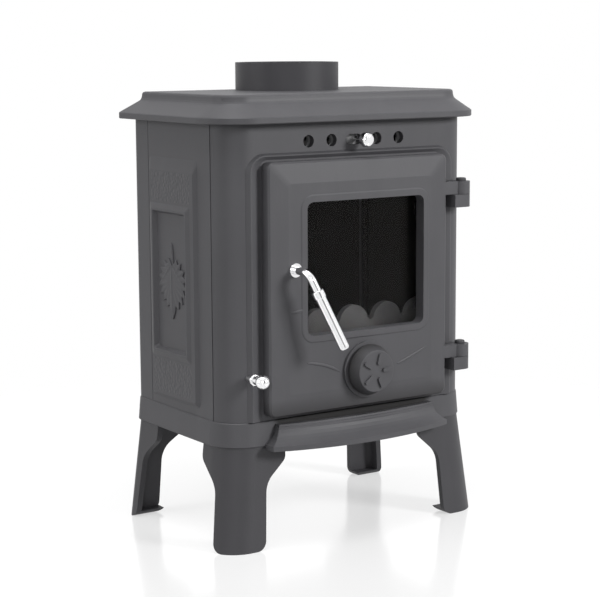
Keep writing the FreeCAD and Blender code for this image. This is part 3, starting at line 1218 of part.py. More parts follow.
def air_wheel_washer():
    """Washer between the wheel and its spring."""
    outer = bar(SPRING_POCKET_RADIUS - CLEAR, wheel_point(WASHER_FRONT_Y), wheel_point(WASHER_BACK_Y))
    front, back = WASHER_FRONT_Y - OVERRUN, WASHER_BACK_Y + OVERRUN
    return outer.cut(bar(HUB_RADIUS + CLEAR, wheel_point(front), wheel_point(back)))


def air_wheel_spring():
    """Compression spring between the door and the washer, which keeps the wheel from rattling."""
    length = WHEEL_BOSS_Y - WASHER_BACK_Y - 2 * SPRING_WIRE_RADIUS - CLEAR
    helix = Part.makeHelix(length / SPRING_TURNS, length, SPRING_RADIUS)
    section = Part.Wire(Part.Circle(Vector(SPRING_RADIUS, 0, 0), Y_AXIS, SPRING_WIRE_RADIUS).toShape())
    coil = Part.Wire(helix.Edges).makePipeShell([section], True, True)
    coil.rotate(Vector(0, 0, 0), X_AXIS, -90)
    coil.translate(wheel_point(WASHER_BACK_Y + SPRING_WIRE_RADIUS))
    return coil


def grate():
    """Grate plate with ash slots and a stepped hole for the riddling disc."""
    low = [(GRATE_X - GRATE_CORNER, GRATE_Y0), (GRATE_X, GRATE_Y0 + GRATE_CORNER)]
    high = [(GRATE_X, GRATE_Y1 - GRATE_CORNER), (GRATE_X - GRATE_CORNER, GRATE_Y1)]
    right = low + high
    left = [(-x, y) for x, y in reversed(right)]
    wire = rounded_wire([(x, y, 0) for x, y in right + left], plan(GRATE_Z0))
    shape = prism(wire, Z_AXIS * GRATE_THICK)
    hole = DISC_RADIUS + CLEAR
    shape = shape.cut(upright(hole, 0, DISC_Y, LEDGE_Z, GRATE_Z1 + OVERRUN))
    shape = shape.cut(upright(DISC_RADIUS - DISC_LEDGE, 0, DISC_Y, GRATE_Z0 - OVERRUN, GRATE_Z1))
    first, last = hole + GRATE_SLOT_WIDTH, LINER_X0 - GRATE_SLOT_WIDTH
    count = int((last - first) / GRATE_SLOT_PITCH) + 1
    y0, y1 = GRATE_Y0 + GRATE_SLOT_INSET, GRATE_Y1 - GRATE_SLOT_INSET
    half = GRATE_SLOT_WIDTH / 2
    for side in (-1, 1):
        for index in range(count):
            x = side * (first + half + index * GRATE_SLOT_PITCH)
            wire = rectangle(x - half, x + half, y0, y1, half - FIXED_FIT, plan(GRATE_Z0 - OVERRUN))
            shape = shape.cut(prism(wire, Z_AXIS * (GRATE_THICK + 2 * OVERRUN)))
    return shape


def riddling_disc():
    """Slotted disc that turns in the grate, with an arm below it that the riddling rod works."""
    top = upright(DISC_RADIUS, 0, DISC_Y, LEDGE_Z + CLEAR, GRATE_Z1)
    for index in range(DISC_SLOT_COUNT):
        near, far = (share * DISC_RADIUS for share in DISC_SLOT_SHARES)
        half = DISC_SLOT_WIDTH / 2
        wire = rectangle(near, far, -half, half, half - FIXED_FIT, plan(GRATE_Z0 - OVERRUN))
        slot = prism(wire, Z_AXIS * (GRATE_THICK + 2 * OVERRUN))
        slot.rotate(Vector(0, 0, 0), Z_AXIS, 360 * (index + 0.5) / DISC_SLOT_COUNT)
        slot.translate(Vector(0, DISC_Y, 0))
        top = top.cut(slot)
    hub = upright(DISC_HUB_RADIUS, 0, DISC_Y, ARM_Z0, LEDGE_Z + CLEAR + GRATE_THICK / 5)
    reach = math.hypot(RIDDLE_X, RIDDLE_STROKE / 2)
    half = ARM_WIDTH / 2
    wire = rectangle(-reach - ARM_END, 0, -half, half, half / 2, plan(ARM_Z0))
    arm = prism(wire, Z_AXIS * ARM_THICK)
    width = 2 * (RIDDLE_PIN_RADIUS + RIDDLE_PIN_SLACK)
    drift = reach + RIDDLE_X
    mid = -reach + drift / 2
    slot = rectangle(mid - drift / 2 - width / 2, mid + drift / 2 + width / 2, -width / 2, width / 2,
                     width / 2 - FIXED_FIT, plan(ARM_Z0 - OVERRUN))
    arm = arm.cut(prism(slot, Z_AXIS * (ARM_THICK + 2 * OVERRUN)))
    arm.rotate(Vector(0, 0, 0), Z_AXIS, math.degrees(math.atan2(-RIDDLE_STROKE / 2, -RIDDLE_X)))
    arm.translate(Vector(0, DISC_Y, 0))
    return fused([top, hub, arm])


def riddling_rod():
    """Pull rod along the left wall, with an upright pin in the riddling arm's slot."""
    front = FRONT_Y - RIDDLE_STAND + RIDDLE_BALL_RADIUS
    rod = along_y(RIDDLE_RADIUS, RIDDLE_X, RIDDLE_Z, front, RIDDLE_PIN_Y + RIDDLE_TAIL)
    pin = upright(RIDDLE_PIN_RADIUS, RIDDLE_X, RIDDLE_PIN_Y, RIDDLE_Z, ARM_Z1)
    return fused([rod, pin])


def riddling_knob():
    """Ball knob with a neck and a lock collar behind it."""
    centre = Vector(RIDDLE_X, FRONT_Y - RIDDLE_STAND, RIDDLE_Z)
    ball = Part.makeSphere(RIDDLE_BALL_RADIUS, centre)
    neck_y = centre.y + RIDDLE_BALL_RADIUS + RIDDLE_NECK_LENGTH
    neck = along_y(RIDDLE_NECK_RADIUS, RIDDLE_X, RIDDLE_Z, centre.y, neck_y)
    collar_end = rounded_end(RIDDLE_COLLAR_LENGTH, RIDDLE_COLLAR_RADIUS, RIDDLE_COLLAR_LENGTH / 3, 3)
    start = [(RIDDLE_COLLAR_LENGTH - along, radius) for along, radius in reversed(collar_end)]
    profile = [(0, 0)] + start + collar_end + [(RIDDLE_COLLAR_LENGTH, 0)]
    collar = revolved(profile, Vector(RIDDLE_X, neck_y, RIDDLE_Z), Y_AXIS, X_AXIS)
    bore = along_y(RIDDLE_RADIUS + FIXED_FIT, RIDDLE_X, RIDDLE_Z, centre.y + RIDDLE_BALL_RADIUS, FRONT_Y)
    return fused([ball, neck, collar]).cut(bore)


def log_fence():
    """Scalloped fence on the front of the grate: round bumps that run smoothly into small valleys."""
    pitch = 2 * (GRATE_X - FENCE_SIDE_GAP) / FENCE_BUMPS
    drop = FENCE_HEIGHT - FENCE_VALLEY
    span = ((pitch / 2) ** 2 + drop ** 2) / (2 * drop)
    radius = span - FENCE_VALLEY_RADIUS
    bump_z = GRATE_Z1 + FENCE_HEIGHT - radius
    valley_z = GRATE_Z1 + FENCE_VALLEY + FENCE_VALLEY_RADIUS
    meet_z = bump_z + radius * (valley_z - bump_z) / span
    half = pitch * (FENCE_BUMPS - 1) / 2 + radius * pitch / (2 * span)
    shapes = [block(-half, half, FENCE_Y0, FENCE_Y1, GRATE_Z1, meet_z)]
    shapes.append(block(-half, half, FENCE_Y0, FENCE_Y1 + FENCE_FOOT, GRATE_Z1, GRATE_Z1 + FENCE_FOOT_THICK))
    centres = [pitch * (index - (FENCE_BUMPS - 1) / 2) for index in range(FENCE_BUMPS)]
    for x in centres:
        bump = along_y(radius, x, bump_z, FENCE_Y0, FENCE_Y1)
        high = GRATE_Z1 + FENCE_HEIGHT + OVERRUN
        shapes.append(bump.common(block(-half, half, FENCE_Y0, FENCE_Y1, GRATE_Z1, high)))
    fence = fused(shapes)
    for x in centres[1:]:
        ends = (FENCE_Y0 - OVERRUN, FENCE_Y1 + OVERRUN)
        fence = fence.cut(along_y(FENCE_VALLEY_RADIUS, x - pitch / 2, valley_z, *ends))
    return fence


def side_liner_left():
    """Cast liner plate that stands on the grate against the left wall."""
    return block(-LINER_X1, -LINER_X0, LINER_Y0, LINER_Y1, GRATE_Z1, BAFFLE_Z0)


def back_liner():
    """Cast liner plate that stands on the grate against the back wall."""
    half = GRATE_X - BACK_LINER_MARGIN
    return block(-half, half, GRATE_Y1 - LINER_THICK, GRATE_Y1, GRATE_Z1, BAFFLE_Z0)


def baffle_plate():
    """Plate over the fire that rests on the liners and leaves a throat at the front."""
    half = LINER_X1 - CLEAR
    y0, y1 = INNER_FRONT_Y + BAFFLE_FRONT_GAP, LINER_Y1
    main = block(-half, half, y0, y1, BAFFLE_Z0, BAFFLE_Z1)
    rear_half = GRATE_X - BACK_LINER_MARGIN
    rear = block(-rear_half, rear_half, y0, GRATE_Y1, BAFFLE_Z0, BAFFLE_Z1)
    return fused([main, rear])


def ash_pan():
    """Sheet ash pan on the base's floor, with a pull lip at its front."""
    outer = block(-PAN_X, PAN_X, PAN_Y0, PAN_Y1, SEAM_Z, SEAM_Z + PAN_HEIGHT)
    inner = block(-PAN_X + PAN_WALL, PAN_X - PAN_WALL, PAN_Y0 + PAN_WALL, PAN_Y1 - PAN_WALL, SEAM_Z + PAN_WALL,
                  SEAM_Z + PAN_HEIGHT + OVERRUN)
    half = PAN_HANDLE_WIDTH / 2
    top = SEAM_Z + PAN_HEIGHT
    lip = block(-half, half, PAN_Y0 - PAN_HANDLE_DEPTH, PAN_Y0 + PAN_WALL, top - PAN_HANDLE_THICK, top)
    return fused([outer.cut(inner), lip])


PIECES = {
    "base_ring": base_ring(),
    "leg_front_left": left_leg(-1),
    "leg_front_right": mirrored(left_leg(-1)),
    "leg_rear_left": left_leg(1),
    "leg_rear_right": mirrored(left_leg(1)),
    "ash_lip": ash_lip(),
    "ash_lip_bolts": ash_lip_bolts(),
    "side_plate_left": side_plate_left(),
    "side_plate_right": mirrored(side_plate_left()),
    "back_plate": back_plate(),
    "front_plate": front_plate(),
    "top_plate": top_plate(),
    "flue_collar": flue_collar(),
    "collar_bolts": collar_bolts(),
    "tie_rods": tie_rods(),
    "tie_nuts": tie_nuts(),
    "hinge_pins": hinge_pins(),
    "air_slide_rails": air_slide_rails(),
    "air_slide_plate": air_slide_plate(),
    "air_slide_knob": air_slide_knob(),
    "door": door(),
    "door_rope_seal": door_rope_seal(),
    "door_glass": door_glass(),
    "glass_gasket": glass_gasket(),
    "glass_clips": glass_clips(),
    "glass_clip_screws": glass_clip_screws(),
    "handle_bush": handle_bush(),
    "handle_rod": handle_rod(),
    "handle_ferrule": handle_ferrule(),
    "handle_grip": handle_grip(),
    "latch_tongue": latch_tongue(),
    "latch_nut": latch_nut(),
    "air_wheel": air_wheel(),
    "air_wheel_stud": air_wheel_stud(),
    "air_wheel_nut": air_wheel_nut(),
    "air_wheel_washer": air_wheel_washer(),
    "air_wheel_spring": air_wheel_spring(),
    "grate": grate(),
    "riddling_disc": riddling_disc(),
    "riddling_rod": riddling_rod(),
    "riddling_knob": riddling_knob(),
    "log_fence": log_fence(),
    "side_liner_left": side_liner_left(),
    "side_liner_right": mirrored(side_liner_left()),
    "back_liner": back_liner(),
    "baffle_plate": baffle_plate(),
    "ash_pan": ash_pan(),
}

# The pieces are drawn about the body's middle; the origin lies under the middle of the whole stove.
WHOLE = FreeCAD.BoundBox()
for shape in PIECES.values():
    WHOLE.add(shape.optimalBoundingBox(False, False))
SHIFT = Vector(-(WHOLE.XMin + WHOLE.XMax) / 2, -(WHOLE.YMin + WHOLE.YMax) / 2, 0)

os.makedirs("parts", exist_ok=True)
for name, shape in PIECES.items():
    shape.translate(SHIFT)
    shape.exportStep("parts/" + name + ".step")
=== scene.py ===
"""Looks of the cast iron wood stove: finishes, relief ornament, light, floor and camera."""

import json
import logging
import math
from dataclasses import dataclass
from enum import Enum
from typing import Any, NamedTuple, Optional, Sequence

import bmesh
import bpy
import numpy as np
from mathutils import Matrix, Vector


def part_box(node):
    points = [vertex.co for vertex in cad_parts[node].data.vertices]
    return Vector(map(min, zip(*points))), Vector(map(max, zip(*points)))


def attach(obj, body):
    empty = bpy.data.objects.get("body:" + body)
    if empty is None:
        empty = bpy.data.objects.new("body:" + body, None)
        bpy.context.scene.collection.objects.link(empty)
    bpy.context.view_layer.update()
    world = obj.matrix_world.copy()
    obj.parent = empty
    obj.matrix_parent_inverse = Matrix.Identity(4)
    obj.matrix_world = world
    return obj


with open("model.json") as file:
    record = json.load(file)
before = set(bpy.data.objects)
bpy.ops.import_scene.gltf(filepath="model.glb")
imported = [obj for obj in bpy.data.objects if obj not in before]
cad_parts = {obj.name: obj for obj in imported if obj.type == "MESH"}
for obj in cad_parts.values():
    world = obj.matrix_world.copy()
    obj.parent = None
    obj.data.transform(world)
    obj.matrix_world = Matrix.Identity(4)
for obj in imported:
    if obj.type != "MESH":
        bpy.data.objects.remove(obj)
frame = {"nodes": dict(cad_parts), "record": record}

LOG = logging.getLogger("stove")
Colour = tuple[float, float, float]
Place = tuple[float, float, float]

MM = 0.001
# Sizes along y are taken from the body's middle, which lies here in the row's frame.
BODY_TO_ROW_Y = sum(corner[1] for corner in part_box("base_ring")) / 2
PANEL_Y = 11.0 * MM + BODY_TO_ROW_Y  # middle of the framed panel of each side plate
# Near-black: real soot in the firebox, and painted shade over the ash lip, at the door's foot and
# on the air wheel's flank.
SOOT_AND_SHADE = (0.016, 0.015, 0.015)
WHITE = (1.0, 1.0, 1.0, 1.0)
MERGE_DISTANCE = 1e-7
RIDGE_SECTION_POINTS = 16
RIDGE_TAPER_POWER = 3


class Op(Enum):
    """Operations of a Math node that the finishes use."""

    ADD = "ADD"
    SUBTRACT = "SUBTRACT"
    MULTIPLY = "MULTIPLY"
    GREATER = "GREATER_THAN"
    LESS = "LESS_THAN"
    ABSOLUTE = "ABSOLUTE"
    MAXIMUM = "MAXIMUM"
    ROOT = "SQRT"


class Slot(Enum):
    """Material slots of the record."""

    CAST_PAINT = "cast_iron_grey"
    CHROME = "polished_chrome"
    STEEL = "plain_steel"
    BARE_IRON = "bare_iron"
    SHEET = "sheet_steel"
    GLASS = "stove_glass"
    GASKET = "black_gasket"
    ROPE = "rope"


class SootAndShade(Enum):
    """Where a painted casting is darkened: real soot on the back plate's fire side, painted shade
    at the other places.
    """

    NOWHERE = "nowhere"
    FIRE_SIDE = "fire_side"
    # The places below are painted shade, not soot.
    ABOVE_LIP = "above_lip"
    DOOR_FOOT = "door_foot"
    WHEEL_FLANK = "wheel_flank"


class Noise(NamedTuple):
    """Scale, detail and roughness of a noise pattern."""

    scale: float
    detail: float
    rough: float = 0.5


class Value:
    """A number socket of a shader that takes part in Python arithmetic."""

    def __init__(self, graph: "Graph", socket: bpy.types.NodeSocket) -> None:
        """Keep the graph and the socket."""
        self.graph = graph
        self.socket = socket

    def math(self, op: Op, first: Any, second: Any = None) -> "Value":
        """Add one Math node.

        Args:
            op: The node's operation.
            first: A Value or a number.
            second: A Value or a number, where the operation takes two.

        Returns:
            The node's result.
        """
        inputs = {0: first} if second is None else {0: first, 1: second}
        return self.graph.value("ShaderNodeMath", {"operation": op.value}, inputs)

    def __add__(self, other: Any) -> "Value":
        """Sum."""
        return self.math(Op.ADD, self, other)

    __radd__ = __add__

    def __sub__(self, other: Any) -> "Value":
        """Difference."""
        return self.math(Op.SUBTRACT, self, other)

    def __rsub__(self, other: Any) -> "Value":
        """Difference with this value second."""
        return self.math(Op.SUBTRACT, other, self)

    def __mul__(self, other: Any) -> "Value":
        """Product."""
        return self.math(Op.MULTIPLY, self, other)

    __rmul__ = __mul__

    def __gt__(self, other: Any) -> "Value":
        """1 where this value is greater."""
        return self.math(Op.GREATER, self, other)

    def __lt__(self, other: Any) -> "Value":
        """1 where this value is less."""
        return self.math(Op.LESS, self, other)

    def __abs__(self) -> "Value":
        """Size without its sign."""
        return self.math(Op.ABSOLUTE, self)

    def larger(self, other: Any) -> "Value":
        """The larger of two values."""
        return self.math(Op.MAXIMUM, self, other)

    def root(self) -> "Value":
        """Square root."""
        return self.math(Op.ROOT, self)


class Graph:
    """Node graph of one material or of the world."""

    def __init__(self, tree: bpy.types.NodeTree) -> None:
        """Empty the tree."""
        self.tree = tree
        tree.nodes.clear()

    def node(self, kind: str, settings: Optional[dict] = None,
             inputs: Optional[dict] = None) -> bpy.types.Node:
        """Add a node.

        Args:
            kind: The node's type.
            settings: Its own settings, set first.
            inputs: Values, sockets or plain numbers by socket name or index.

        Returns:
            The new node.
        """
        made = self.tree.nodes.new(kind)
        for key, setting in (settings or {}).items():
            setattr(made, key, setting)
        for key, given in (inputs or {}).items():
            if isinstance(given, Value):
                given = given.socket
            if isinstance(given, bpy.types.NodeSocket):
                self.tree.links.new(given, made.inputs[key])
            else:
                made.inputs[key].default_value = given
        return made

    def value(self, kind: str, settings: dict, inputs: dict, output: Any = 0) -> Value:
        """Add a node and take one of its outputs as a Value."""
        return Value(self, self.node(kind, settings, inputs).outputs[output])

    def place(self) -> bpy.types.NodeSocket:
        """Object coordinates."""
        return self.node("ShaderNodeTexCoord").outputs["Object"]

    def axes(self) -> tuple[Value, Value, Value]:
        """Object coordinates as three Values."""
        split = self.node("ShaderNodeSeparateXYZ", {}, {0: self.place()})
        return tuple(Value(self, socket) for socket in split.outputs)

    def noise(self, kind: Noise, place: Optional[bpy.types.NodeSocket] = None) -> Value:
        """Add fractal noise.

        Args:
            kind: Its scale, detail and roughness.
            place: The coordinates it is worked out on; Object coordinates if left out.

        Returns:
            The noise, from 0 to 1.
        """
        inputs = {"Vector": place or self.place(), "Scale": kind.scale,
                  "Detail": kind.detail, "Roughness": kind.rough}
        return self.value("ShaderNodeTexNoise", {}, inputs)

    def blend(self, factor: Any, first: Any, second: Any) -> bpy.types.NodeSocket:
        """Mix two colours by a Value that is held between 0 and 1.

        Args:
            factor: 0 for the first colour, 1 for the second.
            first: Three numbers or a colour socket.
            second: Three numbers or a colour socket.

        Returns:
            The mixed colour.
        """
        ends = [end if isinstance(end, bpy.types.NodeSocket) else (*end, 1.0)
                for end in (first, second)]
        inputs = {0: factor, 6: ends[0], 7: ends[1]}
        return self.node("ShaderNodeMix", {"data_type": "RGBA"}, inputs).outputs[2]

    def bump(self, height: Value, distance: float, strength: float) -> bpy.types.NodeSocket:
        """Bump normal from a height Value, with its height in metres."""
        inputs = {"Height": height, "Distance": distance, "Strength": strength}
        return self.node("ShaderNodeBump", {}, inputs).outputs[0]

    def surface(self, inputs: dict) -> None:
        """Principled surface straight to the output."""
        shader = self.node("ShaderNodeBsdfPrincipled", {}, inputs)
        self.node("ShaderNodeOutputMaterial", {}, {"Surface": shader.outputs[0]})


def new_material(name: str) -> tuple[bpy.types.Material, Graph]:
    """Make an empty node material.

    Args:
        name: The material's name.

    Returns:
        The material and its graph.
    """
    material = bpy.data.materials.new(name)
    material.use_nodes = True
    return material, Graph(material.node_tree)


def toned(colour: Colour, factor: float) -> Colour:
    """A colour made darker or lighter by a factor."""
    return tuple(channel * factor for channel in colour)


@dataclass(frozen=True)
class SootAndShadeCoat:
    """Real soot on the back plate's fire side, and painted shade in other places, darker or
    fainter from place to place.
    """

    where: SootAndShade
    back_skin: float = 6.0 * MM  # outer part of the back plate, which stays clean
    fire_half_width: float = 152.0 * MM
    ring_front_depth: float = 8.0 * MM
    lip_end_inset: float = 11.0 * MM
    lip_end_fade: float = 8.0 * MM
    foot_height: float = 20.0 * MM
    foot_share: float = 0.7
    wheel_face_radius: float = 22.5 * MM
    wheel_flank_run: float = 6.0 * MM
    wheel_flank_share: float = 0.75

    def thickness(self, graph: Graph) -> Value:
        """Work out how dark a place is made: by real soot on the fire side, by painted shade
        elsewhere.

        Args:
            graph: The graph of the casting's material.

        Returns:
            How dark the place is made, from none at 0 or less to black at 1 or more.
        """
        shapes = {
            SootAndShade.FIRE_SIDE: self.fire_side,
            SootAndShade.ABOVE_LIP: self.above_lip,
            SootAndShade.DOOR_FOOT: self.door_foot,
            SootAndShade.WHEEL_FLANK: self.wheel_flank,
        }
        return shapes[self.where](*graph.axes())

    def fire_side(self, x: Value, y: Value, z: Value) -> Value:
        """All over the back plate's face to the fire."""
        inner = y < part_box("back_plate")[1][1] - self.back_skin
        return inner * (abs(x) < self.fire_half_width)

    def above_lip(self, x: Value, y: Value, z: Value) -> Value:
        """Painted shade on the base ring's front over the ash lip, fading out near the lip's ends.

        Args:
            x: Place across the stove.
            y: Place along its depth.
            z: Height; not used.

        Returns:
            How dark the painted shade is.
        """
        left, right = (corner[0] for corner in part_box("ash_lip"))
        inside = (right - left) / 2 - self.lip_end_inset - abs(x - (left + right) / 2)
        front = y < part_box("base_ring")[0][1] + self.ring_front_depth
        return front * inside * (1 / self.lip_end_fade)

    def door_foot(self, x: Value, y: Value, z: Value) -> Value:
        """Painted shade along the door's lower edge, fainter upwards."""
        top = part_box("door")[0][2] + self.foot_height
        return (top - z) * (self.foot_share / self.foot_height)

    def wheel_flank(self, x: Value, y: Value, z: Value) -> Value:
        """Painted shade on the air wheel's flank, darker away from its axis.

        Args:
            x: Place across the stove.
            y: Place along its depth; not used.
            z: Height.

        Returns:
            How dark the painted shade is.
        """
        low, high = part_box("air_wheel")
        across, up = x - (low[0] + high[0]) / 2, z - (low[2] + high[2]) / 2
        away = (across * across + up * up).root()
        return (away - self.wheel_face_radius) * (self.wheel_flank_share / self.wheel_flank_run)


@dataclass(frozen=True)
class CastPaint:
    """Matt stove paint on sand-cast iron: a fine grain, upright streaks and uneven colour."""

    colour: Colour = (0.084, 0.083, 0.0895)
    stippled: bool = False
    # Where the paint is darkened: real soot on the fire side, painted shade over the ash lip, at
    # the door's foot and on the wheel's flank.
    soot_and_shade: SootAndShade = SootAndShade.NOWHERE
    spread: float = 0.32
    roughness: float = 0.5
    roughness_spread: float = 0.12
    shine: float = 0.32
    fine: Noise = Noise(1500.0, 3.0, 0.6)
    coarse: Noise = Noise(420.0, 2.0)
    patches: Noise = Noise(14.0, 4.0, 0.55)
    runs: Noise = Noise(1.0, 3.0)
    runs_across: float = 60.0
    runs_upright: float = 7.0
    runs_share: float = 0.4
    coarse_share: float = 0.45
    fine_share: float = 0.3
    grain_height: float = 0.16 * MM
    grain_strength: float = 0.8
    # Middle and half height of the pebbled band above the framed panel and of the one below it.
    pebble_bands: tuple = ((401.0 * MM, 17.0 * MM), (182.0 * MM, 19.0 * MM))
    pebble_half_length: float = 44.0 * MM
    pebble_scale: float = 260.0
    pebble_smoothness: float = 0.6
    pebble_mean: float = 0.5
    pebble_rise: float = 6.0

    def material(self, name: str) -> bpy.types.Material:
        """Build the finish.

        Args:
            name: The material's name.

        Returns:
            The material.
        """
        material, graph = new_material(name)
        grain = graph.noise(self.fine)
        cloud = graph.noise(self.patches) * (1 - self.runs_share) + self.streaks(graph)
        height = grain * (1 - self.coarse_share) + graph.noise(self.coarse) * self.coarse_share
        if self.stippled:
            height = height + self.pebbles(graph)
        uneven = cloud * (1 - self.fine_share) + grain * self.fine_share
        dark, light = toned(self.colour, 1 - self.spread), toned(self.colour, 1 + self.spread)
        paint = graph.blend(uneven, dark, light)
        # Blend towards near-black: real soot on the fire side, painted shade at the other places.
        if self.soot_and_shade is not SootAndShade.NOWHERE:
            paint = graph.blend(SootAndShadeCoat(self.soot_and_shade).thickness(graph), paint, SOOT_AND_SHADE)
        graph.surface({
            "Base Color": paint,
            "Roughness": cloud * self.roughness_spread
            + (self.roughness - self.roughness_spread / 2),
            "Specular IOR Level": self.shine,
            "Normal": graph.bump(height, self.grain_height, self.grain_strength),
        })
        return material

    def streaks(self, graph: Graph) -> Value:
        """Noise drawn out upright, like brush marks and runs in paint.

        Args:
            graph: The material's graph.

        Returns:
            The streaks, at their share of the paint's clouding.
        """
        x, y, z = graph.axes()
        drawn = {0: x * self.runs_across, 1: y * self.runs_across, 2: z * self.runs_upright}
        place = graph.node("ShaderNodeCombineXYZ", {}, drawn).outputs[0]
        return graph.noise(self.runs, place) * self.runs_share

    def pebbles(self, graph: Graph) -> Value:
        """Pebbled bands above and below the framed panel of a side plate.

        Args:
            graph: The material's graph.

        Returns:
            Height to add to the grain, 0 outside the bands.
        """
        _, y, z = graph.axes()
        inputs = {"Vector": graph.place(), "Scale": self.pebble_scale,
                  "Smoothness": self.pebble_smoothness}
        cells = graph.value("ShaderNodeTexVoronoi", {"feature": "SMOOTH_F1"}, inputs, "Distance")
        across = abs(y - PANEL_Y) < self.pebble_half_length
        upper, lower = (abs(z - middle) < half for middle, half in self.pebble_bands)
        return (self.pebble_mean - cells) * across * (upper + lower) * self.pebble_rise


@dataclass(frozen=True)
class BareIron:
    """Unpainted iron, dark from heat, with a dry scale."""

    colour: Colour = (0.06, 0.059, 0.059)
    roughness: float = 0.72
    roughness_spread: float = 0.2
    dark: float = 0.7
    light: float = 1.5
    shine: float = 0.3
    flakes: Noise = Noise(90.0, 5.0, 0.6)
    fine: Noise = Noise(700.0, 3.0)
    flakes_share: float = 0.5
    grain_height: float = 0.2 * MM
    grain_strength: float = 0.8

    def material(self, name: str) -> bpy.types.Material:
        """Build the finish.

        Args:
            name: The material's name.

        Returns:
            The material.
        """
        material, graph = new_material(name)
        scale = graph.noise(self.flakes)
        height = graph.noise(self.fine) + scale * self.flakes_share
        dark, light = toned(self.colour, self.dark), toned(self.colour, self.light)
        graph.surface({
            "Base Color": graph.blend(scale, dark, light),
            "Roughness": scale * self.roughness_spread
            + (self.roughness - self.roughness_spread / 2),
            "Specular IOR Level": self.shine,
            "Normal": graph.bump(height, self.grain_height, self.grain_strength),
        })
        return material


@dataclass(frozen=True)
class Metal:
    """Bright or brushed metal with faint fine marks."""

    colour: Colour
    roughness: float
    marks: float
    dark: float = 0.94
    smears: Noise = Noise(120.0, 4.0, 0.6)
    fine: Noise = Noise(1800.0, 2.0)
    least_depth: float = 0.01 * MM
    depth_by_roughness: float = 0.06 * MM
    marks_strength: float = 0.5

    def material(self, name: str) -> bpy.types.Material:
        """Build the finish.

        Args:
            name: The material's name.

        Returns:
            The material.
        """
        material, graph = new_material(name)
        smear = graph.noise(self.smears)
        depth = self.least_depth + self.depth_by_roughness * self.roughness
        graph.surface({
            "Base Color": graph.blend(smear, toned(self.colour, self.dark), self.colour),
            "Metallic": 1.0,
            "Roughness": smear * self.marks + self.roughness,
            "Normal": graph.bump(graph.noise(self.fine), depth, self.marks_strength),
        })
        return material


@dataclass(frozen=True)
class SheetPaint:
    """Thin black paint on sheet steel, with a light dust of ash."""

    colour: Colour = (0.05, 0.05, 0.052)
    dusty: float = 1.7
    roughness: float = 0.4
    dust_roughness: float = 0.3
    dust: Noise = Noise(60.0, 5.0, 0.6)
    fine: Noise = Noise(900.0, 2.0)
    grain_height: float = 0.05 * MM
    grain_strength: float = 0.6

    def material(self, name: str) -> bpy.types.Material:
        """Build the finish.

        Args:
            name: The material's name.

        Returns:
            The material.
        """
        material, graph = new_material(name)
        dust = graph.noise(self.dust)
        height = graph.noise(self.fine)
        graph.surface({
            "Base Color": graph.blend(dust, self.colour, toned(self.colour, self.dusty)),
            "Roughness": dust * self.dust_roughness + self.roughness,
            "Normal": graph.bump(height, self.grain_height, self.grain_strength),
        })
        return material


@dataclass(frozen=True)
class Pane:
    """Clear stove glass with a very light smoke haze."""

    colour: Colour = (0.78, 0.78, 0.79)
    hazy: float = 0.93
    roughness: float = 0.01
    haze_roughness: float = 0.03
    haze: Noise = Noise(30.0, 4.0, 0.6)
    ior: float = 1.15

    def material(self, name: str) -> bpy.types.Material:
        """Build the finish.

        Args:
            name: The material's name.

        Returns:
            The material.
        """
        material, graph = new_material(name)
        haze = graph.noise(self.haze)
        graph.surface({
            "Base Color": graph.blend(haze, toned(self.colour, self.hazy), self.colour),
            "Roughness": haze * self.haze_roughness + self.roughness,
            "Transmission Weight": 1.0,
            "IOR": self.ior,
        })
        return material


@dataclass(frozen=True)
class Woven:
    """Dark woven or knitted mineral fibre."""

    colour: Colour
    pitch: float
    light: float = 1.4
    dark: float = 0.5
    roughness: float = 0.9
    strand_height: float = 0.6 * MM
    strand_strength: float = 0.9

    def material(self, name: str) -> bpy.types.Material:
        """Build the finish.

        Args:
            name: The material's name.

        Returns:
            The material.
        """
        material, graph = new_material(name)
        inputs = {"Vector": graph.place(), "Scale": 1.0 / self.pitch}
        cells = graph.value("ShaderNodeTexVoronoi", {"feature": "F1"}, inputs, "Distance")
        light, dark = toned(self.colour, self.light), toned(self.colour, self.dark)
        graph.surface({
            "Base Color": graph.blend(cells, light, dark),
            "Roughness": self.roughness,
            "Normal": graph.bump(1.0 - cells, self.strand_height, self.strand_strength),
        })
        return material


FINISHES = {
    Slot.CAST_PAINT: CastPaint(),
    Slot.CHROME: Metal((0.86, 0.86, 0.87), roughness=0.1, marks=0.06),
    Slot.STEEL: Metal((0.36, 0.36, 0.37), roughness=0.34, marks=0.14),
    Slot.BARE_IRON: BareIron(),
    Slot.SHEET: SheetPaint(),
    Slot.GLASS: Pane(),
    Slot.GASKET: Woven((0.03, 0.03, 0.03), pitch=1.2 * MM),
    Slot.ROPE: Woven((0.07, 0.07, 0.07), pitch=1.8 * MM),
}
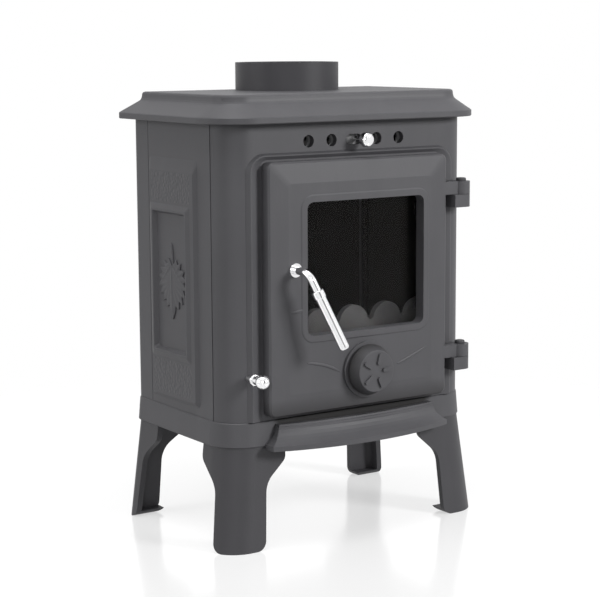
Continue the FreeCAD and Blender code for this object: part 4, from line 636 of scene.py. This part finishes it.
# Nodes whose finish differs from that of their slot.
OWN_FINISHES = {
    CastPaint(stippled=True): ("side_plate_left", "side_plate_right"),
    CastPaint(soot_and_shade=SootAndShade.FIRE_SIDE): ("back_plate",),
    # Painted shade over the ash lip, on the base ring's front.
    CastPaint(soot_and_shade=SootAndShade.ABOVE_LIP): ("base_ring",),
    # Painted shade along the door's lower edge.
    CastPaint(soot_and_shade=SootAndShade.DOOR_FOOT): ("door",),
    # Painted shade on the air wheel's flank.
    CastPaint(soot_and_shade=SootAndShade.WHEEL_FLANK): ("air_wheel",),
    BareIron(SOOT_AND_SHADE, roughness=0.8): (
        "side_liner_left", "side_liner_right", "back_liner", "baffle_plate", "tie_rods"),
    BareIron((0.15, 0.148, 0.146), roughness=0.7): ("log_fence",),
    BareIron((0.17, 0.17, 0.173), roughness=0.6): ("air_slide_plate",),
    CastPaint((0.041, 0.04, 0.0445)): ("flue_collar",),
    # A darker copy of the paint: on the legs it is painted shade from the stove's body above them;
    # the hinge pins take it too.
    CastPaint((0.053, 0.052, 0.057)): (
        "hinge_pins", "leg_front_left", "leg_front_right", "leg_rear_left", "leg_rear_right"),
}


class Palette:
    """The materials by slot, and by node where a node has its own."""

    def __init__(self) -> None:
        """Build each material once."""
        self.by_slot = {slot: finish.material(slot.value + "_finish")
                        for slot, finish in FINISHES.items()}
        self.by_node = {}
        for finish, nodes in OWN_FINISHES.items():
            material = finish.material(nodes[0] + "_finish")
            self.by_node.update(dict.fromkeys(nodes, material))

    def dress_nodes(self) -> None:
        """Give every CAD node its own finish, or else that of its slot."""
        for part in frame["record"]["subparts"]:
            node = frame["nodes"][part["node"]]
            of_slot = self.by_slot[Slot(part["material_slot"])]
            node.data.materials.clear()
            node.data.materials.append(self.by_node.get(part["node"], of_slot))
            LOG.info("dressed %s as %s", part["node"], part["material_slot"])


def mesh_from_grid(name: str, points: np.ndarray) -> bpy.types.Mesh:
    """Turn a grid of points, whose last column joins its first, into a closed, smooth mesh.

    Args:
        name: The mesh's name.
        points: Array of rows by columns by 3, in metres; a row of equal points makes a pole.

    Returns:
        The mesh, with its doubles merged and its faces pointing outwards.
    """
    rows, columns = points.shape[:2]
    index = np.arange(rows * columns).reshape(rows, columns)
    index = np.hstack([index, index[:, :1]])
    corners = [index[:-1, :-1], index[:-1, 1:], index[1:, 1:], index[1:, :-1]]
    quads = np.stack(corners, axis=-1).reshape(-1, 4)
    mesh = bpy.data.meshes.new(name)
    mesh.from_pydata(points.reshape(-1, 3).tolist(), [], quads.tolist())
    shell = bmesh.new()
    shell.from_mesh(mesh)
    bmesh.ops.remove_doubles(shell, verts=shell.verts, dist=MERGE_DISTANCE)
    bmesh.ops.recalc_face_normals(shell, faces=shell.faces)
    shell.to_mesh(mesh)
    shell.free()
    mesh.polygons.foreach_set("use_smooth", np.ones(len(mesh.polygons), bool))
    return mesh


def add_piece(mesh: bpy.types.Mesh, body: str, slot: Slot, palette: Palette) -> None:
    """Put a finished mesh into the scene.

    Args:
        mesh: The mesh, in the row frame.
        body: The CAD body that it rides on.
        slot: The record's slot that it takes its finish from.
        palette: The materials.
    """
    mesh.materials.append(palette.by_slot[slot])
    piece = bpy.data.objects.new(mesh.name, mesh)
    bpy.context.collection.objects.link(piece)
    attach(piece, body)
    LOG.info("added %s on %s, %d faces", mesh.name, body, len(mesh.polygons))


def resample(points: np.ndarray, count: int) -> np.ndarray:
    """Take points at even steps along a line of straight runs.

    Args:
        points: The line's corners, one per row.
        count: How many points to take.

    Returns:
        The points, one per row.
    """
    runs = np.linalg.norm(np.diff(points, axis=0), axis=1)
    steps = np.concatenate([[0.0], np.cumsum(runs)])
    where = np.linspace(0.0, steps[-1], count)
    columns = [np.interp(where, steps, points[:, axis]) for axis in range(points.shape[1])]
    return np.stack(columns, axis=1)


def ridge_grid(path: np.ndarray, outward: np.ndarray, width: float, height: float,
               sunk: float) -> np.ndarray:
    """Low raised line: an ellipse carried along a path and drawn to a point at both ends.

    Args:
        path: Points along the line, on the face that carries it.
        outward: The face's outward direction.
        width: Full width at the middle.
        height: Height over the face at the middle.
        sunk: How far the ellipse's lower half goes into the face.

    Returns:
        Grid of points, rows along the path and columns round the section.
    """
    along = np.gradient(path, axis=0)
    along /= np.linalg.norm(along, axis=1, keepdims=True)
    side = np.cross(along, outward)
    share = np.linspace(0.0, 1.0, len(path))
    fall = np.abs(2.0 * share - 1.0) ** RIDGE_TAPER_POWER
    taper = np.sqrt(np.clip(1.0 - fall, 0.0, 1.0))[:, None, None]
    turn = np.linspace(0.0, 2.0 * np.pi, RIDGE_SECTION_POINTS, endpoint=False)[None, :, None]
    rise = np.where(np.sin(turn) > 0.0, height, sunk) * np.sin(turn)
    section = side[:, None, :] * np.cos(turn) * width / 2 + outward * rise
    return path[:, None, :] + taper * section


@dataclass
class SideLeaf:
    """Raised leaf with its stalk in the framed panel of each side plate."""

    floor_x: float = 169.6 * MM
    joint_y: float = PANEL_Y
    joint_z: float = 313.0 * MM
    reach: float = 63.0 * MM
    half_width: float = 55.0 * MM
    edge_height: float = 1.3 * MM
    crown: float = 1.3 * MM
    crown_power: float = 2.5
    vein_height: float = 0.7 * MM
    vein_width: float = 1.3 * MM
    vein_fade: float = 0.7
    sunk: float = 0.4 * MM
    middle_share: float = 0.3
    outline_points: int = 240
    rows: int = 22
    stalk_points: int = 24
    stalk_width: float = 3.4 * MM
    stalk_height: float = 2.0 * MM
    stalk_start: float = 8.0 * MM
    stalk_reach: float = 33.0 * MM
    stalk_bow: float = 4.0 * MM
    stalk_back: float = 1.5 * MM
    # Half outline from the stalk to the tip, as shares of half width and reach.
    half_shares: tuple = (
        (0.0, 0.04), (0.08, -0.03), (0.16, -0.1), (0.2, 0.0), (0.34, -0.04), (0.31, 0.08),
        (0.5, 0.09), (0.41, 0.18), (0.58, 0.25), (0.45, 0.31), (0.58, 0.43), (0.43, 0.44),
        (0.52, 0.58), (0.36, 0.55), (0.4, 0.7), (0.25, 0.65), (0.25, 0.8), (0.12, 0.75),
        (0.08, 0.88), (0.0, 1.0),
    )
    vein_tip_shares: tuple = (
        (0.0, 0.97), (0.55, 0.42), (-0.55, 0.42), (0.46, 0.09), (-0.46, 0.09))

    def outline(self) -> np.ndarray:
        """Mirror the half outline and space its points evenly.

        Returns:
            Outline in (across, down) from the stalk's joint, in metres.
        """
        half = np.array(self.half_shares)
        other = half[-2:0:-1] * np.array([-1.0, 1.0])
        ring = np.vstack([half, other, half[:1]]) * np.array([self.half_width, self.reach])
        return resample(ring, self.outline_points + 1)[:-1]

    def relief(self, flat: np.ndarray, share: np.ndarray) -> np.ndarray:
        """Height over the panel: a crown that falls to the edge, and a soft ridge on each vein.

        Args:
            flat: Places on the leaf in (across, down).
            share: How far each lies from the leaf's middle, 1 at its edge.

        Returns:
            The height at each place.
        """
        height = self.edge_height + self.crown * (1.0 - share ** self.crown_power)
        tips = np.array(self.vein_tip_shares) * np.array([self.half_width, self.reach])
        lengths = np.linalg.norm(tips, axis=1)
        along = np.clip(flat @ tips.T / lengths ** 2, 0.0, 1.0)
        gap = np.linalg.norm(flat[..., None, :] - along[..., None] * tips, axis=-1)
        ridge = np.exp(-((gap / self.vein_width) ** 2)) * (1.0 - self.vein_fade * along)
        return height + self.vein_height * ridge.max(axis=-1)

    def grid(self, side: float) -> np.ndarray:
        """Leaf surface: rays from its middle to its outline, then down its edge and back under it.

        Args:
            side: -1 for the left side plate, 1 for the right one.

        Returns:
            Grid of points, rows from the middle outwards and columns round the outline.
        """
        ring = self.outline()
        middle = np.array([0.0, self.middle_share * self.reach])
        share = np.linspace(0.0, 1.0, self.rows)[:, None]
        flat = middle + share[..., None] * (ring[None] - middle)
        height = self.relief(flat, np.broadcast_to(share, flat.shape[:2]))
        lower = np.full((1, len(ring)), -self.sunk)
        flat = np.concatenate([flat, ring[None], np.broadcast_to(middle, (1, *ring.shape))])
        height = np.concatenate([height, lower, lower])
        x = side * (self.floor_x + height)
        y, z = self.joint_y - flat[..., 0], self.joint_z - flat[..., 1]
        return np.stack([x, y, z], axis=-1)

    def stalk(self, side: float) -> np.ndarray:
        """Stalk: a tapered ridge that bows up from the leaf's joint along a parabola.

        Args:
            side: -1 for the left side plate, 1 for the right one.

        Returns:
            Grid of points, rows along the stalk and columns round its section.
        """
        share = np.linspace(0.0, 1.0, self.stalk_points)
        x = np.full_like(share, side * self.floor_x)
        y = self.joint_y + self.stalk_bow * share ** 2 - self.stalk_back
        z = self.joint_z - self.stalk_start + self.stalk_reach * share
        path, outward = np.stack([x, y, z], axis=1), np.array([side, 0.0, 0.0])
        return ridge_grid(path, outward, self.stalk_width, self.stalk_height, self.sunk)

    def build(self, palette: Palette) -> None:
        """Add the leaf and its stalk on both sides.

        Args:
            palette: The materials.
        """
        for side, word in ((-1.0, "left"), (1.0, "right")):
            grids = {"leaf_" + word: self.grid(side), "leaf_stalk_" + word: self.stalk(side)}
            for name, grid in grids.items():
                mesh = mesh_from_grid(name, grid)
                add_piece(mesh, "stove_body", Slot.CAST_PAINT, palette)


@dataclass
class DoorLines:
    """Low curved lines cast into the door's face, beside and below the window."""

    face_y: float = -121.5 * MM + BODY_TO_ROW_Y
    width: float = 3.6 * MM
    height: float = 0.8 * MM
    sunk: float = 0.5 * MM
    points: int = 40
    # Start, control and end point of each line in (x, z), in metres.
    lines: tuple = (
        ((-0.096, 0.2670), (-0.086, 0.2675), (-0.0755, 0.2705)),
        ((-0.076, 0.2085), (-0.050, 0.2060), (-0.030, 0.1935)),
        ((0.049, 0.1945), (0.062, 0.1975), (0.093, 0.2110)),
    )

    def path(self, line: tuple) -> np.ndarray:
        """Quadratic curve from a start, towards a control and to an end point.

        Args:
            line: The three points.

        Returns:
            Points along the curve on the door's face.
        """
        t = np.linspace(0.0, 1.0, self.points)[:, None]
        start, control, end = (np.array(point) for point in line)
        flat = (1 - t) ** 2 * start + 2 * t * (1 - t) * control + t ** 2 * end
        return np.stack([flat[:, 0], np.full(len(flat), self.face_y), flat[:, 1]], axis=1)

    def build(self, palette: Palette) -> None:
        """Add each line to the door.

        Args:
            palette: The materials.
        """
        outward = np.array([0.0, -1.0, 0.0])
        for number, line in enumerate(self.lines):
            grid = ridge_grid(self.path(line), outward, self.width, self.height, self.sunk)
            mesh = mesh_from_grid(f"door_line_{number}", grid)
            add_piece(mesh, "door_leaf", Slot.CAST_PAINT, palette)


@dataclass(frozen=True)
class Lamp:
    """A soft square lamp, with its place and side in metres and its power in watts."""

    name: str
    place: Place
    size: float
    power: float

    def build(self, target: Place) -> None:
        """Add the lamp.

        Args:
            target: What it points at.
        """
        data = bpy.data.lights.new(self.name, "AREA")
        data.shape, data.size, data.energy = "SQUARE", self.size, self.power
        lamp = bpy.data.objects.new(self.name, data)
        aim = (Vector(target) - Vector(self.place)).to_track_quat("-Z", "Y")
        lamp.matrix_world = Matrix.Translation(self.place) @ aim.to_matrix().to_4x4()
        bpy.context.collection.objects.link(lamp)


@dataclass
class Studio:
    """Camera, light, floor and the card that shows in the grip."""

    eye: Place = (-1115.0 * MM, -1669.5 * MM + BODY_TO_ROW_Y, 565.9 * MM)
    yaw: float = math.radians(-33.65)
    pitch: float = math.radians(8.665)
    roll: float = math.radians(0.334)
    focal_px: float = 1703.7
    image_width: float = 600.0
    sensor: float = 36.0
    clip_near: float = 0.05
    clip_far: float = 50.0
    # Rear left, front right, beside the camera and above.
    lamps: tuple = (
        Lamp("left_softbox", (-2.2, 0.45, 0.9), size=1.0, power=11.5),
        Lamp("right_softbox", (1.2, -2.2, 1.3), size=0.7, power=47.0),
        Lamp("camera_fill", (-1.5, -2.0, 0.9), size=0.9, power=9.0),
        Lamp("top_softbox", (-0.45, -0.25, 2.2), size=1.3, power=23.5),
    )
    lamp_target: Place = (0.0, 0.0, 0.3)
    sky_light: float = 0.18
    ground_light: float = 0.05
    sky_from: float = 0.35
    ground_to: float = -0.25
    floor_half: float = 2.5
    floor_colour: float = 0.42
    floor_roughness: float = 0.16
    floor_shine: float = 0.5
    floor_lift: float = 0.56
    floor_fade_from: float = 0.32
    floor_fade_to: float = 0.95
    card_turn: float = math.radians(-9.0)
    card_distance: float = 2.6
    card_width: float = 0.8
    card_height: float = 1.9
    card_colour: float = 0.3
    card_roughness: float = 0.9

    def camera(self) -> None:
        """Set the camera where the photograph was taken from."""
        cos_p = math.cos(self.pitch)
        forward = Vector((-math.sin(self.yaw) * cos_p, math.cos(self.yaw) * cos_p,
                          -math.sin(self.pitch)))
        right = Vector((math.cos(self.yaw), math.sin(self.yaw), 0.0))
        down = forward.cross(right)
        cos_r, sin_r = math.cos(self.roll), math.sin(self.roll)
        across = cos_r * right + sin_r * down
        below = -sin_r * right + cos_r * down
        data = bpy.data.cameras.new("photo_camera")
        data.sensor_fit = "HORIZONTAL"
        data.sensor_width = self.sensor
        data.lens = self.focal_px * self.sensor / self.image_width
        data.clip_start, data.clip_end = self.clip_near, self.clip_far
        eye = bpy.data.objects.new("photo_camera", data)
        turn = Matrix((across, -below, -forward)).transposed()
        eye.matrix_world = Matrix.Translation(self.eye) @ turn.to_4x4()
        bpy.context.collection.objects.link(eye)
        bpy.context.scene.camera = eye

    @staticmethod
    def seen(graph: Graph) -> Value:
        """Tell the rays that show the surroundings from those that light the stove.

        Args:
            graph: The graph of the world or of the floor.

        Returns:
            1 for camera, glossy and transmission rays, and 0 for the rest.
        """
        path = graph.node("ShaderNodeLightPath")
        camera, glossy, through = (Value(graph, path.outputs[name]) for name in
                                   ("Is Camera Ray", "Is Glossy Ray", "Is Transmission Ray"))
        return camera.larger(glossy).larger(through)

    def world(self) -> None:
        """White surroundings, with a plain level of light on the object."""
        world = bpy.data.worlds.new("white_room")
        world.use_nodes = True
        graph = Graph(world.node_tree)
        direction = graph.node("ShaderNodeTexCoord").outputs["Generated"]
        height = graph.value("ShaderNodeSeparateXYZ", {}, {0: direction}, 2)
        light = graph.value("ShaderNodeMapRange", {"interpolation_type": "SMOOTHSTEP"}, {
            "Value": height, "From Min": self.ground_to, "From Max": self.sky_from,
            "To Min": self.ground_light, "To Max": self.sky_light})
        strength = self.seen(graph) * (1.0 - light) + light
        inputs = {"Color": WHITE, "Strength": strength}
        back = graph.node("ShaderNodeBackground", {}, inputs)
        graph.node("ShaderNodeOutputWorld", {}, {"Surface": back.outputs[0]})
        bpy.context.scene.world = world

    def floor_material(self) -> bpy.types.Material:
        """Pale gloss that turns clear away from the stove.

        Returns:
            The material.
        """
        material, graph = new_material("pale_floor")
        x, y, _ = graph.axes()
        fade = graph.value("ShaderNodeMapRange", {"interpolation_type": "SMOOTHSTEP"}, {
            "Value": (x * x + y * y).root(),
            "From Min": self.floor_fade_from, "From Max": self.floor_fade_to})
        gloss = graph.node("ShaderNodeBsdfPrincipled", {}, {
            "Base Color": (*[self.floor_colour] * 3, 1.0), "Roughness": self.floor_roughness,
            "Specular IOR Level": self.floor_shine})
        lift = graph.node("ShaderNodeEmission", {}, {
            "Color": WHITE, "Strength": self.seen(graph) * self.floor_lift})
        lit = graph.node("ShaderNodeAddShader", {}, {0: gloss.outputs[0], 1: lift.outputs[0]})
        clear = graph.node("ShaderNodeBsdfTransparent")
        ends = {0: fade, 1: lit.outputs[0], 2: clear.outputs[0]}
        mixed = graph.node("ShaderNodeMixShader", {}, ends)
        graph.node("ShaderNodeOutputMaterial", {}, {"Surface": mixed.outputs[0]})
        return material

    def floor(self) -> None:
        """Pale glossy floor that fades into the white surroundings."""
        half = self.floor_half
        corners = [(-half, -half, 0.0), (half, -half, 0.0), (half, half, 0.0), (-half, half, 0.0)]
        mesh = bpy.data.meshes.new("floor")
        mesh.from_pydata(corners, [], [(0, 1, 2, 3)])
        mesh.materials.append(self.floor_material())
        floor = bpy.data.objects.new("floor", mesh)
        bpy.context.collection.objects.link(floor)

    def card(self) -> None:
        """Grey card in front, seen only in reflections, so that the grip isn't white all over."""
        material, graph = new_material("dark_cloth")
        graph.surface({"Base Color": (*[self.card_colour] * 3, 1.0),
                       "Roughness": self.card_roughness})
        outward = Vector((math.sin(self.card_turn), -math.cos(self.card_turn), 0.0))
        across = Vector((math.cos(self.card_turn), math.sin(self.card_turn), 0.0))
        foot, top = outward * self.card_distance, Vector((0.0, 0.0, self.card_height))
        left, right = foot - across * self.card_width / 2, foot + across * self.card_width / 2
        mesh = bpy.data.meshes.new("grip_card")
        mesh.from_pydata([left, right, right + top, left + top], [], [(0, 1, 2, 3)])
        mesh.materials.append(material)
        card = bpy.data.objects.new("grip_card", mesh)
        bpy.context.collection.objects.link(card)
        card.visible_camera = card.visible_diffuse = card.visible_shadow = False

    def build(self) -> None:
        """Set up everything that isn't part of the stove."""
        bpy.context.scene.view_settings.view_transform = "Standard"
        self.camera()
        for lamp in self.lamps:
            lamp.build(self.lamp_target)
        self.world()
        self.floor()
        self.card()


def main() -> None:
    """Build the looks in order."""
    logging.basicConfig(level=logging.INFO, format="%(name)s: %(message)s")
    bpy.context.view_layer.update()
    Studio().build()
    palette = Palette()
    palette.dress_nodes()
    SideLeaf().build(palette)
    DoorLines().build(palette)


if __name__ == "__main__":
    main()
